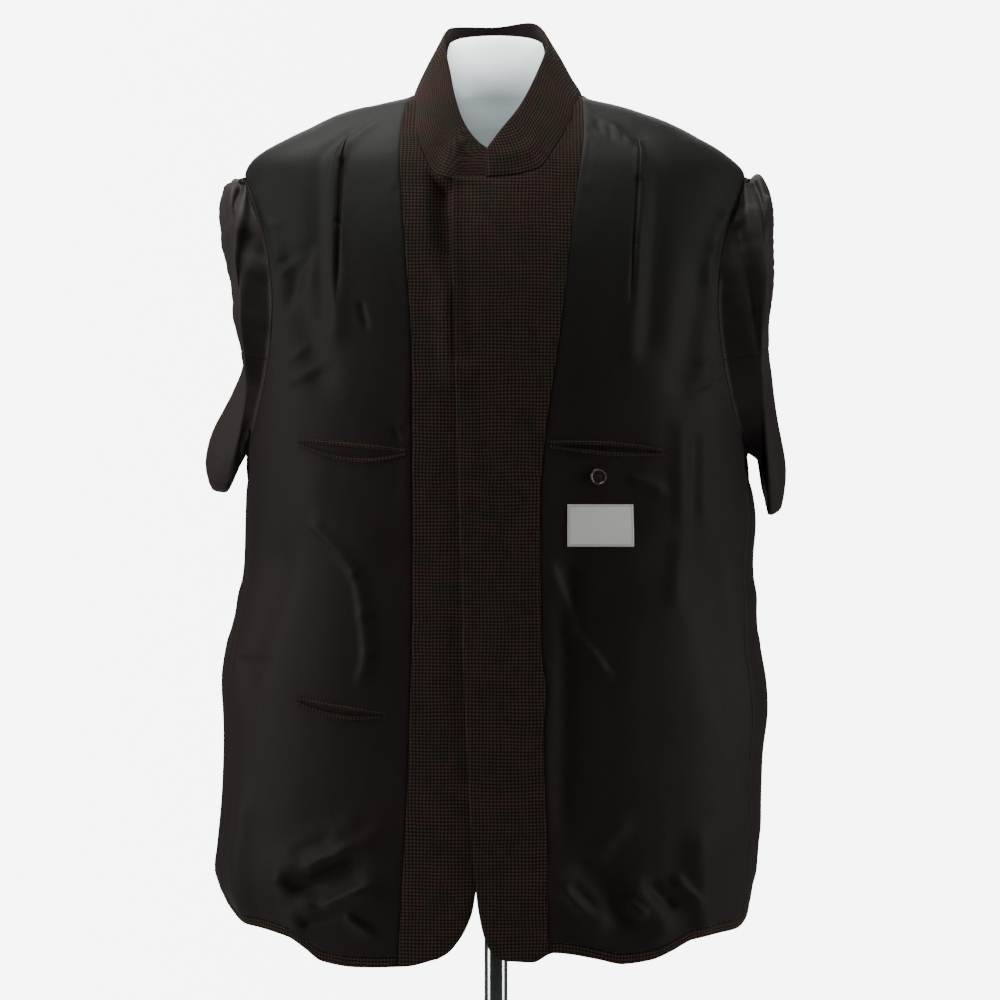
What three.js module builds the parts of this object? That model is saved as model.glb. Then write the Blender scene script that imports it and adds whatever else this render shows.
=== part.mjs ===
// Sport coat worn inside out on a dress form, with its pole and round base.
// Millimetres. +Z is up, the coat's front faces -Y and the photo's left is -X.
// The origin is the middle of the base's underside, on the floor.

import * as THREE from 'three';

const CLOTH = 2.2; // wool, interlining and lining pressed into one wall
const COLLAR_CLOTH = 1.6; // wool top collar
const FELT = 1.4; // undercollar
const SEAM_HALF = 0.16; // half the gap that parts two pieces at a seam
const LEAF_GAP = 0.3; // between the top collar and the undercollar
const SQUARENESS = 2.3; // exponent of the coat's level outline, 2 is an ellipse
const WIDEST = 267; // a little beyond the coat's furthest reach to either side
const TURNUP = 9; // height of the wool turned up at the hem
const LAP_LIFT = 3.6; // how far the upper front lies off the lower one
const LAPEL_LIFT = 5.5; // how much further its lapel stands off

const FRONT_COLUMNS = 8;
const FACING_COLUMNS = 8;
const NECK_COLUMNS = 3;
const ARM_ROWS = 11;
const SIDE_ROWS = 14;
const SIDE_COLUMNS = 4;
const COLLAR_ROWS = 3;
const NOTCH_COLUMN = 1; // where the upper front's collar starts along its gorge

// The coat's level outlines, from the neck down to the hem: height, reach to
// the photo's left and right, and depth before and behind the shoulder ridge.
const LEVELS = [
  { z: 1510, left: 72, right: 73, front: 22, back: 62 },
  { z: 1504, left: 77, right: 81, front: 32, back: 69 },
  { z: 1499, left: 88, right: 89, front: 41, back: 75 },
  { z: 1494, left: 111, right: 109, front: 49, back: 82 },
  { z: 1489, left: 136, right: 127, front: 56, back: 89 },
  { z: 1481, left: 158, right: 152, front: 65, back: 97 },
  { z: 1471, left: 177, right: 175, front: 76, back: 105 },
  { z: 1461, left: 197, right: 192, front: 86, back: 113 },
  { z: 1451, left: 216, right: 210, front: 94, back: 120 },
  { z: 1441, left: 230, right: 223, front: 101, back: 125 },
  { z: 1431, left: 237, right: 234, front: 108, back: 130 },
  { z: 1420, left: 238, right: 237, front: 113, back: 134 },
  { z: 1395, left: 239, right: 238, front: 124, back: 142 },
  { z: 1350, left: 238, right: 236, front: 139, back: 151 },
  { z: 1290, left: 236, right: 235, front: 149, back: 154 },
  { z: 1220, left: 235, right: 235, front: 153, back: 151 },
  { z: 1160, left: 235, right: 237, front: 153, back: 146 },
  { z: 1100, left: 236, right: 245, front: 152, back: 141 },
  { z: 1060, left: 237, right: 242, front: 151, back: 139 },
  { z: 1025, left: 243, right: 245, front: 151, back: 139 },
  { z: 985, left: 252, right: 247, front: 151, back: 141 },
  { z: 950, left: 257, right: 253, front: 151, back: 144 },
  { z: 920, left: 256, right: 255, front: 150, back: 147 },
  { z: 875, left: 257, right: 251, front: 149, back: 150 },
  { z: 815, left: 261, right: 250, front: 147, back: 153 },
  { z: 780, left: 264, right: 245, front: 146, back: 155 },
  { z: 755, left: 261, right: 242, front: 145, back: 156 },
  { z: 735, left: 252, right: 239, front: 144, back: 156 },
  { z: 690, left: 246, right: 236, front: 142, back: 155 },
];

// Seams that run down the front, by height and sideways place.
const FACING_SEAM_LEFT = [
  { z: 1504, x: -77 },
  { z: 1490, x: -83 },
  { z: 1444, x: -88 },
  { z: 1347, x: -82 },
  { z: 1256, x: -76 },
  { z: 1030, x: -75 },
  { z: 948, x: -77 },
  { z: 858, x: -80 },
  { z: 786, x: -84 },
  { z: 697, x: -89 },
];
const FACING_SEAM_RIGHT = [
  { z: 1504, x: 81 },
  { z: 1464, x: 81 },
  { z: 1394, x: 72 },
  { z: 1274, x: 58 },
  { z: 1174, x: 44 },
  { z: 1120, x: 40 },
  { z: 985, x: 41 },
  { z: 948, x: 45 },
  { z: 903, x: 43 },
  { z: 777, x: 47 },
  { z: 708, x: 47 },
];

// Front edges, from the lapel's corner down round the cutaway to the hem.
const FRONT_EDGE_LEFT = [
  { z: 1410, x: 14 },
  { z: 1300, x: 18 },
  { z: 1000, x: 20 },
  { z: 870, x: 14 },
  { z: 820, x: 1 },
  { z: 777, x: -16 },
  { z: 748, x: -21 },
  { z: 730, x: -28 },
  { z: 719, x: -35 },
  { z: 710, x: -43 },
  { z: 704, x: -53 },
];
const FRONT_EDGE_RIGHT = [
  { z: 1410, x: -38 },
  { z: 1300, x: -37 },
  { z: 1030, x: -31 },
  { z: 850, x: -24 },
  { z: 790, x: -20 },
  { z: 758, x: -17 },
  { z: 730, x: -12 },
  { z: 716, x: -7 },
  { z: 707, x: -1 },
  { z: 703, x: 10 },
];

// Gorge seams, where the collar meets each front, from the front edge out.
const GORGE_LEFT = [
  { z: 1410, x: 14 },
  { z: 1410, x: -36 },
  { z: 1416, x: -54 },
  { z: 1437, x: -66 },
  { z: 1463, x: -73 },
  { z: 1490, x: -74 },
  { z: 1504, x: -77 },
];
const GORGE_RIGHT = [
  { z: 1410, x: -38 },
  { z: 1411, x: 8 },
  { z: 1419, x: 38 },
  { z: 1439, x: 52 },
  { z: 1463, x: 65 },
  { z: 1490, x: 73 },
  { z: 1504, x: 81 },
];

// The hem, from each front edge round to the middle of the back, by how far
// round from the middle front it is, in degrees.
const HEM_LEFT = [
  { turn: 10, z: 703 },
  { turn: 16, z: 697 },
  { turn: 28, z: 695 },
  { turn: 37, z: 699 },
  { turn: 42, z: 710 },
  { turn: 47, z: 719 },
  { turn: 58, z: 725 },
  { turn: 70, z: 729 },
  { turn: 80, z: 738 },
  { turn: 95, z: 748 },
  { turn: 114, z: 751 },
  { turn: 180, z: 750 },
];
const HEM_RIGHT = [
  { turn: 2, z: 703 },
  { turn: 6, z: 702 },
  { turn: 10, z: 710 },
  { turn: 14, z: 708 },
  { turn: 20, z: 703 },
  { turn: 26, z: 698 },
  { turn: 34, z: 701 },
  { turn: 40, z: 708 },
  { turn: 47, z: 717 },
  { turn: 58, z: 720 },
  { turn: 68, z: 721 },
  { turn: 78, z: 726 },
  { turn: 92, z: 739 },
  { turn: 114, z: 749 },
  { turn: 180, z: 750 },
];

// Where the side panel's two seams run, in degrees round from the front.
const SIDE_SEAMS = [
  { z: 1176, frontLeft: 76, frontRight: 76, backLeft: 104, backRight: 104 },
  { z: 1060, frontLeft: 77, frontRight: 71, backLeft: 107, backRight: 107 },
  { z: 960, frontLeft: 74, frontRight: 68, backLeft: 110, backRight: 110 },
  { z: 860, frontLeft: 77, frontRight: 69, backLeft: 112, backRight: 112 },
  { z: 740, frontLeft: 75, frontRight: 73, backLeft: 114, backRight: 114 },
];

const ARMHOLE = { z: 1293, height: 266, width: 31, flare: 3 };

// Soft folds and pleats: from one end to the other by degrees round and height,
// how far they rise or sink, and their half width.
const FOLDS = [
  { name: 'left chest pleat', turn0: -36, z0: 1462, turn1: -35, z1: 1275, rise: 5, half: 11 },
  { name: 'left pleat crease', turn0: -40, z0: 1458, turn1: -39, z1: 1290, rise: -4, half: 10 },
  { name: 'right chest pleat', turn0: 33, z0: 1460, turn1: 28, z1: 1255, rise: 5, half: 11 },
  { name: 'right pleat crease', turn0: 37, z0: 1458, turn1: 33, z1: 1265, rise: -4, half: 10 },
  { name: 'left armhole drag', turn0: -50, z0: 1330, turn1: -40, z1: 1235, rise: -4, half: 18 },
  { name: 'right armhole drag', turn0: 50, z0: 1320, turn1: 44, z1: 1230, rise: -4, half: 18 },
  { name: 'left pocket sag', turn0: -42, z0: 1120, turn1: -28, z1: 1085, rise: 4, half: 28 },
  { name: 'right pocket sag', turn0: 45, z0: 1120, turn1: 26, z1: 1080, rise: 4, half: 28 },
  { name: 'left waist hollow', turn0: -55, z0: 1060, turn1: -62, z1: 960, rise: -5, half: 26 },
  { name: 'right waist hollow', turn0: 52, z0: 1040, turn1: 58, z1: 930, rise: -5, half: 26 },
  { name: 'left hem ridge', turn0: -44, z0: 780, turn1: -26, z1: 812, rise: 7, half: 17 },
  { name: 'left hem ridge below', turn0: -43, z0: 738, turn1: -24, z1: 766, rise: 6, half: 14 },
  { name: 'left hem trough', turn0: -40, z0: 764, turn1: -27, z1: 784, rise: -5, half: 12 },
  { name: 'right hem ridge', turn0: 11, z0: 775, turn1: 19, z1: 738, rise: 5, half: 13 },
  { name: 'right hem trough', turn0: 17, z0: 790, turn1: 24, z1: 745, rise: -4, half: 13 },
  { name: 'right hem fold', turn0: 28, z0: 765, turn1: 36, z1: 730, rise: 5, half: 14 },
  { name: 'right side flute', turn0: 46, z0: 800, turn1: 50, z1: 735, rise: 6, half: 16 },
  { name: 'left side flute', turn0: -62, z0: 830, turn1: -64, z1: 740, rise: 5, half: 18 },
  { name: 'back left flute', turn0: -146, z0: 1230, turn1: -141, z1: 765, rise: 8, half: 26 },
  { name: 'back left hollow', turn0: -158, z0: 1180, turn1: -156, z1: 790, rise: -7, half: 22 },
  { name: 'back right flute', turn0: 149, z0: 1260, turn1: 143, z1: 770, rise: 8, half: 25 },
  { name: 'back right hollow', turn0: 160, z0: 1150, turn1: 158, z1: 800, rise: -7, half: 22 },
  { name: 'back neck fold', turn0: -160, z0: 1455, turn1: 162, z1: 1452, rise: 4, half: 14 },
  { name: 'back left drag', turn0: -122, z0: 1270, turn1: -138, z1: 1180, rise: -5, half: 20 },
  { name: 'back right drag', turn0: 121, z0: 1260, turn1: 139, z1: 1170, rise: -5, half: 20 },
  { name: 'lapel roll', turn0: -9, z0: 1410, turn1: -7, z1: 1230, rise: 4, half: 9 },
  { name: 'hollow under lapel', turn0: -6, z0: 1400, turn1: -5, z1: 1250, rise: -3, half: 7 },
];

// Each sleeve from the armhole out over its rim, then in and down inside the
// coat: its reach and height at the highest and the lowest place of each loop,
// depth before and behind, and how far the underarm flap swings out and drops.
const SLEEVE_LEFT = [
  { name: 'swell', outHigh: 250, outLow: 226, high: 1419, low: 1172, front: 84, back: 77, flap: 20, drop: 22 },
  { name: 'rim', outHigh: 256, outLow: 220, high: 1404, low: 1182, front: 73, back: 67, flap: 37, drop: 54 },
  { name: 'turn', outHigh: 257, outLow: 221, high: 1390, low: 1190, front: 62, back: 58, flap: 47, drop: 60 },
  { name: 'brow', outHigh: 254, outLow: 225, high: 1379, low: 1200, front: 54, back: 52, flap: 50, drop: 46 },
  { name: 'lip', outHigh: 245, outLow: 231, high: 1371, low: 1212, front: 47, back: 46, flap: 29, drop: 14 },
  { name: 'mouth', outHigh: 226, outLow: 228, high: 1362, low: 1212, front: 49, back: 48, flap: 4, drop: 0 },
  { name: 'throat', outHigh: 204, outLow: 226, high: 1342, low: 1188, front: 61, back: 58, flap: 0, drop: 0 },
  { name: 'bicep', outHigh: 193, outLow: 225, high: 1284, low: 1130, front: 68, back: 64, flap: 0, drop: 0 },
  { name: 'arm', outHigh: 190, outLow: 223, high: 1190, low: 1050, front: 70, back: 66, flap: 0, drop: 0 },
  { name: 'elbow', outHigh: 193, outLow: 228, high: 1080, low: 968, front: 66, back: 68, flap: 0, drop: 0 },
  { name: 'lower', outHigh: 190, outLow: 226, high: 950, low: 880, front: 67, back: 62, flap: 0, drop: 0 },
  { name: 'cuff', outHigh: 191, outLow: 222, high: 820, low: 806, front: 60, back: 56, flap: 0, drop: 0 },
];
const SLEEVE_RIGHT = [
  { name: 'swell', outHigh: 252, outLow: 243, high: 1428, low: 1170, front: 84, back: 77, flap: 12, drop: 18 },
  { name: 'rim', outHigh: 258, outLow: 246, high: 1414, low: 1181, front: 74, back: 68, flap: 14, drop: 74 },
  { name: 'turn', outHigh: 258, outLow: 250, high: 1398, low: 1190, front: 63, back: 58, flap: 19, drop: 78 },
  { name: 'brow', outHigh: 257, outLow: 253, high: 1384, low: 1199, front: 55, back: 52, flap: 21, drop: 54 },
  { name: 'lip', outHigh: 247, outLow: 246, high: 1372, low: 1211, front: 48, back: 46, flap: 15, drop: 14 },
  { name: 'mouth', outHigh: 226, outLow: 232, high: 1360, low: 1211, front: 49, back: 48, flap: 0, drop: 0 },
  { name: 'throat', outHigh: 204, outLow: 226, high: 1340, low: 1186, front: 61, back: 58, flap: 0, drop: 0 },
  { name: 'bicep', outHigh: 193, outLow: 225, high: 1280, low: 1126, front: 68, back: 64, flap: 0, drop: 0 },
  { name: 'arm', outHigh: 190, outLow: 224, high: 1186, low: 1046, front: 69, back: 66, flap: 0, drop: 0 },
  { name: 'elbow', outHigh: 192, outLow: 227, high: 1074, low: 962, front: 67, back: 66, flap: 0, drop: 0 },
  { name: 'lower', outHigh: 190, outLow: 225, high: 946, low: 876, front: 66, back: 62, flap: 0, drop: 0 },
  { name: 'cuff', outHigh: 191, outLow: 222, high: 818, low: 804, front: 60, back: 56, flap: 0, drop: 0 },
];
const FLAP_HALF_ANGLE = 72; // either side of the underarm seam
const SLEEVE_START = 5; // how far the sleeve runs straight on from its seam
const SLEEVE_SEAM_COLUMN = 8; // columns from the shoulder round to each of its own seams

// Gathers round each sleeve's rim: place round the armhole in degrees from the
// shoulder seam towards the front, half angle and rise on either side.
const GATHERS = [
  { at: 34, half: 14, left: 3, right: 3 },
  { at: 64, half: 12, left: -3, right: -4 },
  { at: 94, half: 13, left: 4, right: -6 },
  { at: 124, half: 11, left: -4, right: 5 },
  { at: 232, half: 14, left: -4, right: 4 },
  { at: 262, half: 14, left: 5, right: -4 },
  { at: 300, half: 14, left: -4, right: 4 },
  { at: 330, half: 12, left: 3, right: -3 },
];

// The turned-up collar's free edge, from the end that laps over (on the upper
// front) round the neck to the end beneath.
const COLLAR_EDGE = [
  { x: -9, y: -116, z: 1440 },
  { x: 5, y: -106, z: 1460 },
  { x: 20, y: -93, z: 1480 },
  { x: 31, y: -78, z: 1501 },
  { x: 40, y: -58, z: 1522 },
  { x: 47, y: -34, z: 1543 },
  { x: 46, y: -3, z: 1562 },
  { x: 33, y: 28, z: 1577 },
  { x: 0, y: 54, z: 1569 },
  { x: -36, y: 28, z: 1573 },
  { x: -46, y: -2, z: 1565 },
  { x: -48, y: -30, z: 1547 },
  { x: -43, y: -54, z: 1521 },
  { x: -37, y: -76, z: 1491 },
  { x: -28, y: -92, z: 1465 },
  { x: -13, y: -103, z: 1446 },
  { x: 6, y: -110, z: 1436 },
];
const COLLAR_BULGE = 1;

// The dress form, from its flat underside up to the neck's rounded top.
const FORM = [
  { z: 846, half: 150, front: 98, back: 94 },
  { z: 852, half: 162, front: 109, back: 105 },
  { z: 872, half: 168, front: 114, back: 110 },
  { z: 930, half: 162, front: 110, back: 106 },
  { z: 1000, half: 154, front: 106, back: 100 },
  { z: 1065, half: 152, front: 108, back: 98 },
  { z: 1135, half: 160, front: 116, back: 103 },
  { z: 1205, half: 171, front: 123, back: 111 },
  { z: 1275, half: 178, front: 126, back: 119 },
  { z: 1340, half: 181, front: 122, back: 124 },
  { z: 1390, half: 180, front: 109, back: 122 },
  { z: 1425, half: 176, front: 92, back: 112 },
  { z: 1454.5, half: 166, front: 74, back: 99 },
  { z: 1471.7, half: 150, front: 61, back: 86 },
  { z: 1481.7, half: 132, front: 53, back: 76 },
  { z: 1488.7, half: 113, front: 49, back: 69 },
  { z: 1494.2, half: 92, front: 48, back: 62 },
  { z: 1499.5, half: 72, front: 48, back: 56 },
  { z: 1507, half: 57, front: 48, back: 51 },
  { z: 1520, half: 49.5, front: 48, back: 48 },
  { z: 1537, half: 46.5, front: 47, back: 46 },
  { z: 1548, half: 45.5, front: 46, back: 45 },
  { z: 1553, half: 43.5, front: 44, back: 43 },
  { z: 1555, half: 39.5, front: 40, back: 39 },
];
const FORM_COLUMNS = 30;

const POLE_RADIUS = 11;
const BASE_RADIUS = 195;
const BASE_THICKNESS = 9;
const BOSS_RADIUS = 24;
const BOSS_TOP = 34;
const REST_GAP = 0.3;

// Piped pocket mouths: ends by sideways place and height, how far the two
// lips sag apart, and the height of a lip.
const POCKETS = [
  { name: 'upper_left', x0: -181, z0: 1173, x1: -79, z1: 1163, gape: 8, sag: 5, lip: 5 },
  { name: 'lower_left', x0: -181, z0: 937, x1: -101, z1: 925, gape: 4, sag: 3, lip: 4.5 },
  { name: 'upper_right', x0: 47, z0: 1170, x1: 153, z1: 1163, gape: 3.4, sag: 0, lip: 5 },
];
const POCKET_COLUMNS = 10;
const PIPING = 1.6; // how thick a pocket lip is
const RAISED = 0.5; // air between a panel and what lies on it

const BUTTON = { x: 92, z: 1141, radius: 7.5, thickness: 3.2, rim: 1.8, dish: 0.8 };
const LABEL = { x: 94, z: 1097, width: 59, height: 38, thickness: 0.8 };

const RADIANS = Math.PI / 180;

/** Smooth curve through a table's column that never overshoots its rows. */
function smoothColumn(at, values) {
  const last = at.length - 1;
  const slope = [];
  for (let i = 0; i < last; i += 1) {
    slope.push((values[i + 1] - values[i]) / (at[i + 1] - at[i]));
  }
  const tangent = at.map((_, i) => {
    if (i === 0) return slope[0];
    if (i === last) return slope[last - 1];
    const product = slope[i - 1] * slope[i];
    return product <= 0 ? 0 : (2 * product) / (slope[i - 1] + slope[i]);
  });
  return (x) => {
    const c = Math.min(Math.max(x, at[0]), at[last]);
    let i = 0;
    while (i < last - 1 && c > at[i + 1]) i += 1;
    const width = at[i + 1] - at[i];
    const t = (c - at[i]) / width;
    const t2 = t * t;
    const t3 = t2 * t;
    return (2 * t3 - 3 * t2 + 1) * values[i] + (t3 - 2 * t2 + t) * width * tangent[i]
      + (3 * t2 - 2 * t3) * values[i + 1] + (t3 - t2) * width * tangent[i + 1];
  };
}

/** One smooth function for each named column of a table. */
function smoothTable(at, rows, names) {
  const columns = names.map((name) => smoothColumn(at, rows.map((row) => row[name])));
  return (x) => Object.fromEntries(names.map((name, i) => [name, columns[i](x)]));
}

/** Running length along points, starting at 0. */
function runningLength(points) {
  const length = [0];
  for (let i = 1; i < points.length; i += 1) {
    const step = Math.hypot(...points[i].map((value, k) => value - points[i - 1][k]));
    length.push(length[i - 1] + step);
  }
  return length;
}

// "down" is the length along the shoulder and then down the side.
const LEVEL_DOWN = runningLength(LEVELS.map((row) => [(row.left + row.right) / 2, row.z]));
const levelAt = smoothTable(LEVEL_DOWN, LEVELS, ['z', 'left', 'right', 'front', 'back']);

function downAt(z) {
  let low = 0;
  let high = LEVEL_DOWN[LEVEL_DOWN.length - 1];
  for (let i = 0; i < 40; i += 1) {
    const middle = (low + high) / 2;
    if (levelAt(middle).z > z) low = middle;
    else high = middle;
  }
  return (low + high) / 2;
}

/** Point on the coat's plain skin, by degrees round from the front and down. */
function plainSkin(turn, down) {
  const level = levelAt(down);
  const s = Math.sin(turn * RADIANS);
  const c = Math.cos(turn * RADIANS);
  const reach = s < 0 ? level.left : level.right;
  const depth = c > 0 ? level.front : level.back;
  const power = 2 / SQUARENESS;
  return new THREE.Vector3(
    Math.sign(s) * reach * Math.abs(s) ** power,
    -Math.sign(c) * depth * Math.abs(c) ** power,
    level.z,
  );
}

function skinNormal(turn, down) {
  const deepest = LEVEL_DOWN[LEVEL_DOWN.length - 1];
  const low = Math.max(down - 3, 0);
  const high = Math.min(down + 3, deepest);
  const along = plainSkin(turn + 1, down).sub(plainSkin(turn - 1, down));
  const fall = plainSkin(turn, high).sub(plainSkin(turn, low));
  return fall.cross(along).normalize();
}

/** Degrees round from the front of the point at x on the front, at a height. */
function turnAt(x, z) {
  const level = levelAt(downAt(z));
  const share = Math.min(Math.abs(x) / (x < 0 ? level.left : level.right), 1);
  return (Math.sign(x) * Math.asin(share ** (SQUARENESS / 2))) / RADIANS;
}

/** Rise of all folds at a place on the skin. */
function foldRise(turn, z) {
  const perDegree = 3.5;
  let rise = 0;
  for (const fold of FOLDS) {
    let across = fold.turn1 - fold.turn0;
    if (Math.abs(across) > 180) across -= Math.sign(across) * 360;
    let offset = turn - fold.turn0;
    if (Math.abs(offset) > 180) offset -= Math.sign(offset) * 360;
    const dx = across * perDegree;
    const dz = fold.z1 - fold.z0;
    const px = offset * perDegree;
    const pz = z - fold.z0;
    const t = Math.min(Math.max((px * dx + pz * dz) / (dx * dx + dz * dz), 0), 1);
    const away = Math.hypot(px - t * dx, pz - t * dz) / fold.half;
    rise += fold.rise * Math.exp(-away * away);
  }
  return rise;
}

/** How far the upper front stands off the lower one, by x and height. */
function lapLift(x, z) {
  const across = Math.min(Math.max((70 - x) / 45, 0), 1);
  const lapel = Math.exp(-(((z - 1390) / 110) ** 2));
  return across * across * (3 - 2 * across) * (LAP_LIFT + LAPEL_LIFT * lapel);
}

function skinPoint(turn, down, lapped) {
  const point = plainSkin(turn, down);
  const normal = skinNormal(turn, down);
  const lift = lapped && Math.abs(turn) < 60 ? lapLift(point.x, point.z) : 0;
  point.addScaledVector(normal, foldRise(turn, point.z) + lift);
  return { point, normal };
}

/** Place in (turn, down) of a sideways place and height on the front. */
function onFront([x, z]) {
  return [turnAt(x, z), downAt(z)];
}

/** Curve in (x, z) from a table of places on the front, even by length. */
function frontCurve(rows) {
  const points = rows.map(({ x, z }) => plainSkin(...onFront([x, z])).toArray());
  const length = runningLength(points);
  const at = smoothTable(length, rows, ['x', 'z']);
  const total = length[length.length - 1];
  const curve = (t) => {
    const place = at(t * total);
    return [place.x, place.z];
  };
  return { curve, total };
}

/** Sideways place opened out in degrees, so that even steps suit the sides. */
function spreadOf(turn, down) {
  const { x } = plainSkin(turn, down);
  return (Math.sign(x) * Math.asin((Math.abs(x) / WIDEST) ** (SQUARENESS / 2))) / RADIANS;
}

/** Place in (turn, down) from the opened-out place, on the front or the back. */
function fromSpread([spread, down], behind) {
  const level = levelAt(down);
  const x = WIDEST * Math.abs(Math.sin(spread * RADIANS)) ** (2 / SQUARENESS);
  const reach = spread < 0 ? level.left : level.right;
  const turn = Math.asin(Math.min(x / reach, 1) ** (SQUARENESS / 2)) / RADIANS;
  return [Math.sign(spread) * (behind ? 180 - turn : turn), down];
}

/** Panel between four curves given in (turn, down), on the front or the back. */
function opened(curves, behind) {
  const flat = patch(...curves.map((curve) => (t) => {
    const [turn, down] = curve(t);
    return [spreadOf(turn, down), down];
  }));
  return (u, v) => fromSpread(flat(u, v), behind);
}

/** Place on the armhole, in degrees from the shoulder round by the front. */
function armholePlace(side, angle, shrink) {
  const a = angle * RADIANS;
  const half = ARMHOLE.width + ARMHOLE.flare * Math.cos(a) - shrink / 3.4;
  const z = ARMHOLE.z + (ARMHOLE.height / 2 - shrink) * Math.cos(a);
  return [side * (90 - half * Math.sin(a)), downAt(z)];
}

function sideSeamPlace(side, which, z) {
  const at = SIDE_SEAMS.map((row) => -row.z);
  const column = which + (side < 0 ? 'Left' : 'Right');
  return [side * smoothColumn(at, SIDE_SEAMS.map((row) => row[column]))(-z), downAt(z)];
}

function hemHeight(side, turn) {
  const rows = side < 0 ? HEM_LEFT : HEM_RIGHT;
  return smoothColumn(rows.map((row) => row.turn), rows.map((row) => row.z))(Math.abs(turn));
}

/** Degrees round at which a side seam meets the line of the turned-up hem. */
function seamFootTurn(side, which) {
  let turn = 90;
  for (let i = 0; i < 6; i += 1) {
    turn = Math.abs(sideSeamPlace(side, which, hemHeight(side, turn) + TURNUP)[0]);
  }
  return turn;
}

/** Surface between four curves, each in the same pair of coordinates. */
function patch(top, bottom, first, last) {
  const corners = [top(0), top(1), bottom(0), bottom(1)];
  return (u, v) => [0, 1].map((k) => (
    (1 - v) * top(u)[k] + v * bottom(u)[k] + (1 - u) * first(v)[k] + u * last(v)[k]
    - (1 - u) * (1 - v) * corners[0][k] - u * (1 - v) * corners[1][k]
    - (1 - u) * v * corners[2][k] - u * v * corners[3][k]
  ));
}

/** Even shares from 0 to 1. */
function shares(count) {
  return Array.from({ length: count + 1 }, (_, i) => i / count);
}

/** Direction square to an edge, along the cloth and into the piece. */
function inwardAt(grid, j, i, alongRow) {
  const rows = grid.length;
  const columns = grid[0].length;
  const nearColumn = (k) => Math.min(Math.max(k, 0), columns - 1);
  const nearRow = (k) => Math.min(Math.max(k, 0), rows - 1);
  const { point, normal } = grid[j][i];
  const [next, before, inner] = alongRow
    ? [grid[j][nearColumn(i + 1)], grid[j][nearColumn(i - 1)], grid[j === 0 ? 1 : rows - 2][i]]
    : [grid[nearRow(j + 1)][i], grid[nearRow(j - 1)][i], grid[j][i === 0 ? 1 : columns - 2]];
  const inward = next.point.clone().sub(before.point).cross(normal).normalize();
  if (inward.dot(inner.point.clone().sub(point)) < 0) inward.negate();
  return inward;
}

/** The same grid with its edges drawn in by half the gap at a seam. */
function drawnIn(grid) {
  const rows = grid.length;
  const columns = grid[0].length;
  return grid.map((row, j) => row.map(({ point, normal }, i) => {
    const moved = point.clone();
    if (j === 0 || j === rows - 1) {
      moved.addScaledVector(inwardAt(grid, j, i, true), SEAM_HALF);
    }
    if (i === 0 || i === columns - 1) {
      moved.addScaledVector(inwardAt(grid, j, i, false), SEAM_HALF);
    }
    return { point: moved, normal };
  }));
}

/** Rows of points and normals over a patch, drawn in at its edges. */
function panelGrid(area, columns, rows, lapped) {
  return drawnIn(rows.map((v) => columns.map((u) => skinPoint(...area(u, v), lapped))));
}

/** Closed wall over a grid, from one offset along its normals to another. */
function wall(grid, outer, inner) {
  const rows = grid.length;
  const columns = grid[0].length;
  const positions = [];
  for (const offset of [outer, inner]) {
    for (const row of grid) {
      for (const { point, normal } of row) {
        positions.push(...point.clone().addScaledVector(normal, offset).toArray());
      }
    }
  }
  const outside = (j, i) => j * columns + i;
  const inside = (j, i) => rows * columns + outside(j, i);
  const index = [];
  const quad = (a, b, c, d) => index.push(a, b, c, a, c, d);
  for (let j = 0; j < rows - 1; j += 1) {
    for (let i = 0; i < columns - 1; i += 1) {
      quad(outside(j, i), outside(j + 1, i), outside(j + 1, i + 1), outside(j, i + 1));
      quad(inside(j, i), inside(j, i + 1), inside(j + 1, i + 1), inside(j + 1, i));
    }
  }
  for (let i = 0; i < columns - 1; i += 1) {
    quad(outside(0, i), outside(0, i + 1), inside(0, i + 1), inside(0, i));
    const j = rows - 1;
    quad(outside(j, i), inside(j, i), inside(j, i + 1), outside(j, i + 1));
  }
  for (let j = 0; j < rows - 1; j += 1) {
    quad(outside(j + 1, 0), outside(j, 0), inside(j, 0), inside(j + 1, 0));
    const i = columns - 1;
    quad(outside(j + 1, i), inside(j + 1, i), inside(j, i), outside(j, i));
  }
  const geometry = new THREE.BufferGeometry();
  geometry.setAttribute('position', new THREE.Float32BufferAttribute(positions, 3));
  geometry.setIndex(index);
  return facingOut(geometry);
}

/** Turns a closed body's faces outwards if its volume comes out negative. */
function facingOut(geometry) {
  const position = geometry.getAttribute('position');
  const index = Array.from(geometry.getIndex().array);
  const corner = (i) => new THREE.Vector3().fromBufferAttribute(position, index[i]);
  let volume = 0;
  for (let i = 0; i < index.length; i += 3) {
    volume += corner(i).dot(corner(i + 1).cross(corner(i + 2)));
  }
  if (volume < 0) {
    for (let i = 0; i < index.length; i += 3) {
      [index[i], index[i + 1]] = [index[i + 1], index[i]];
    }
    geometry.setIndex(index);
  }
  geometry.computeVertexNormals();
  return geometry;
}

const group = new THREE.Group();

const FINISHES = {
  lining: { color: 0x2f2b2a, roughness: 0.45, metalness: 0 },
  wool: { color: 0x33231c, roughness: 0.95, metalness: 0 },
  felt: { color: 0x1c1716, roughness: 1, metalness: 0 },
  button: { color: 0x241b17, roughness: 0.3, metalness: 0 },
  label: { color: 0xd9d9d6, roughness: 0.6, metalness: 0 },
  form: { color: 0xdfe8ea, roughness: 0.25, metalness: 0 },
  chrome: { color: 0xd0d4d6, roughness: 0.12, metalness: 1 },
};

function add(name, geometry, finish) {
  const mesh = new THREE.Mesh(geometry, new THREE.MeshStandardMaterial(FINISHES[finish]));
  mesh.name = name;
  group.add(mesh);
}

const FRONT_JOIN = 150; // where the side panel's front seam meets the armhole
const FULL_ROWS = ARM_ROWS + SIDE_ROWS;
const JOIN_SHARE = ARM_ROWS / FULL_ROWS;

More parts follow.
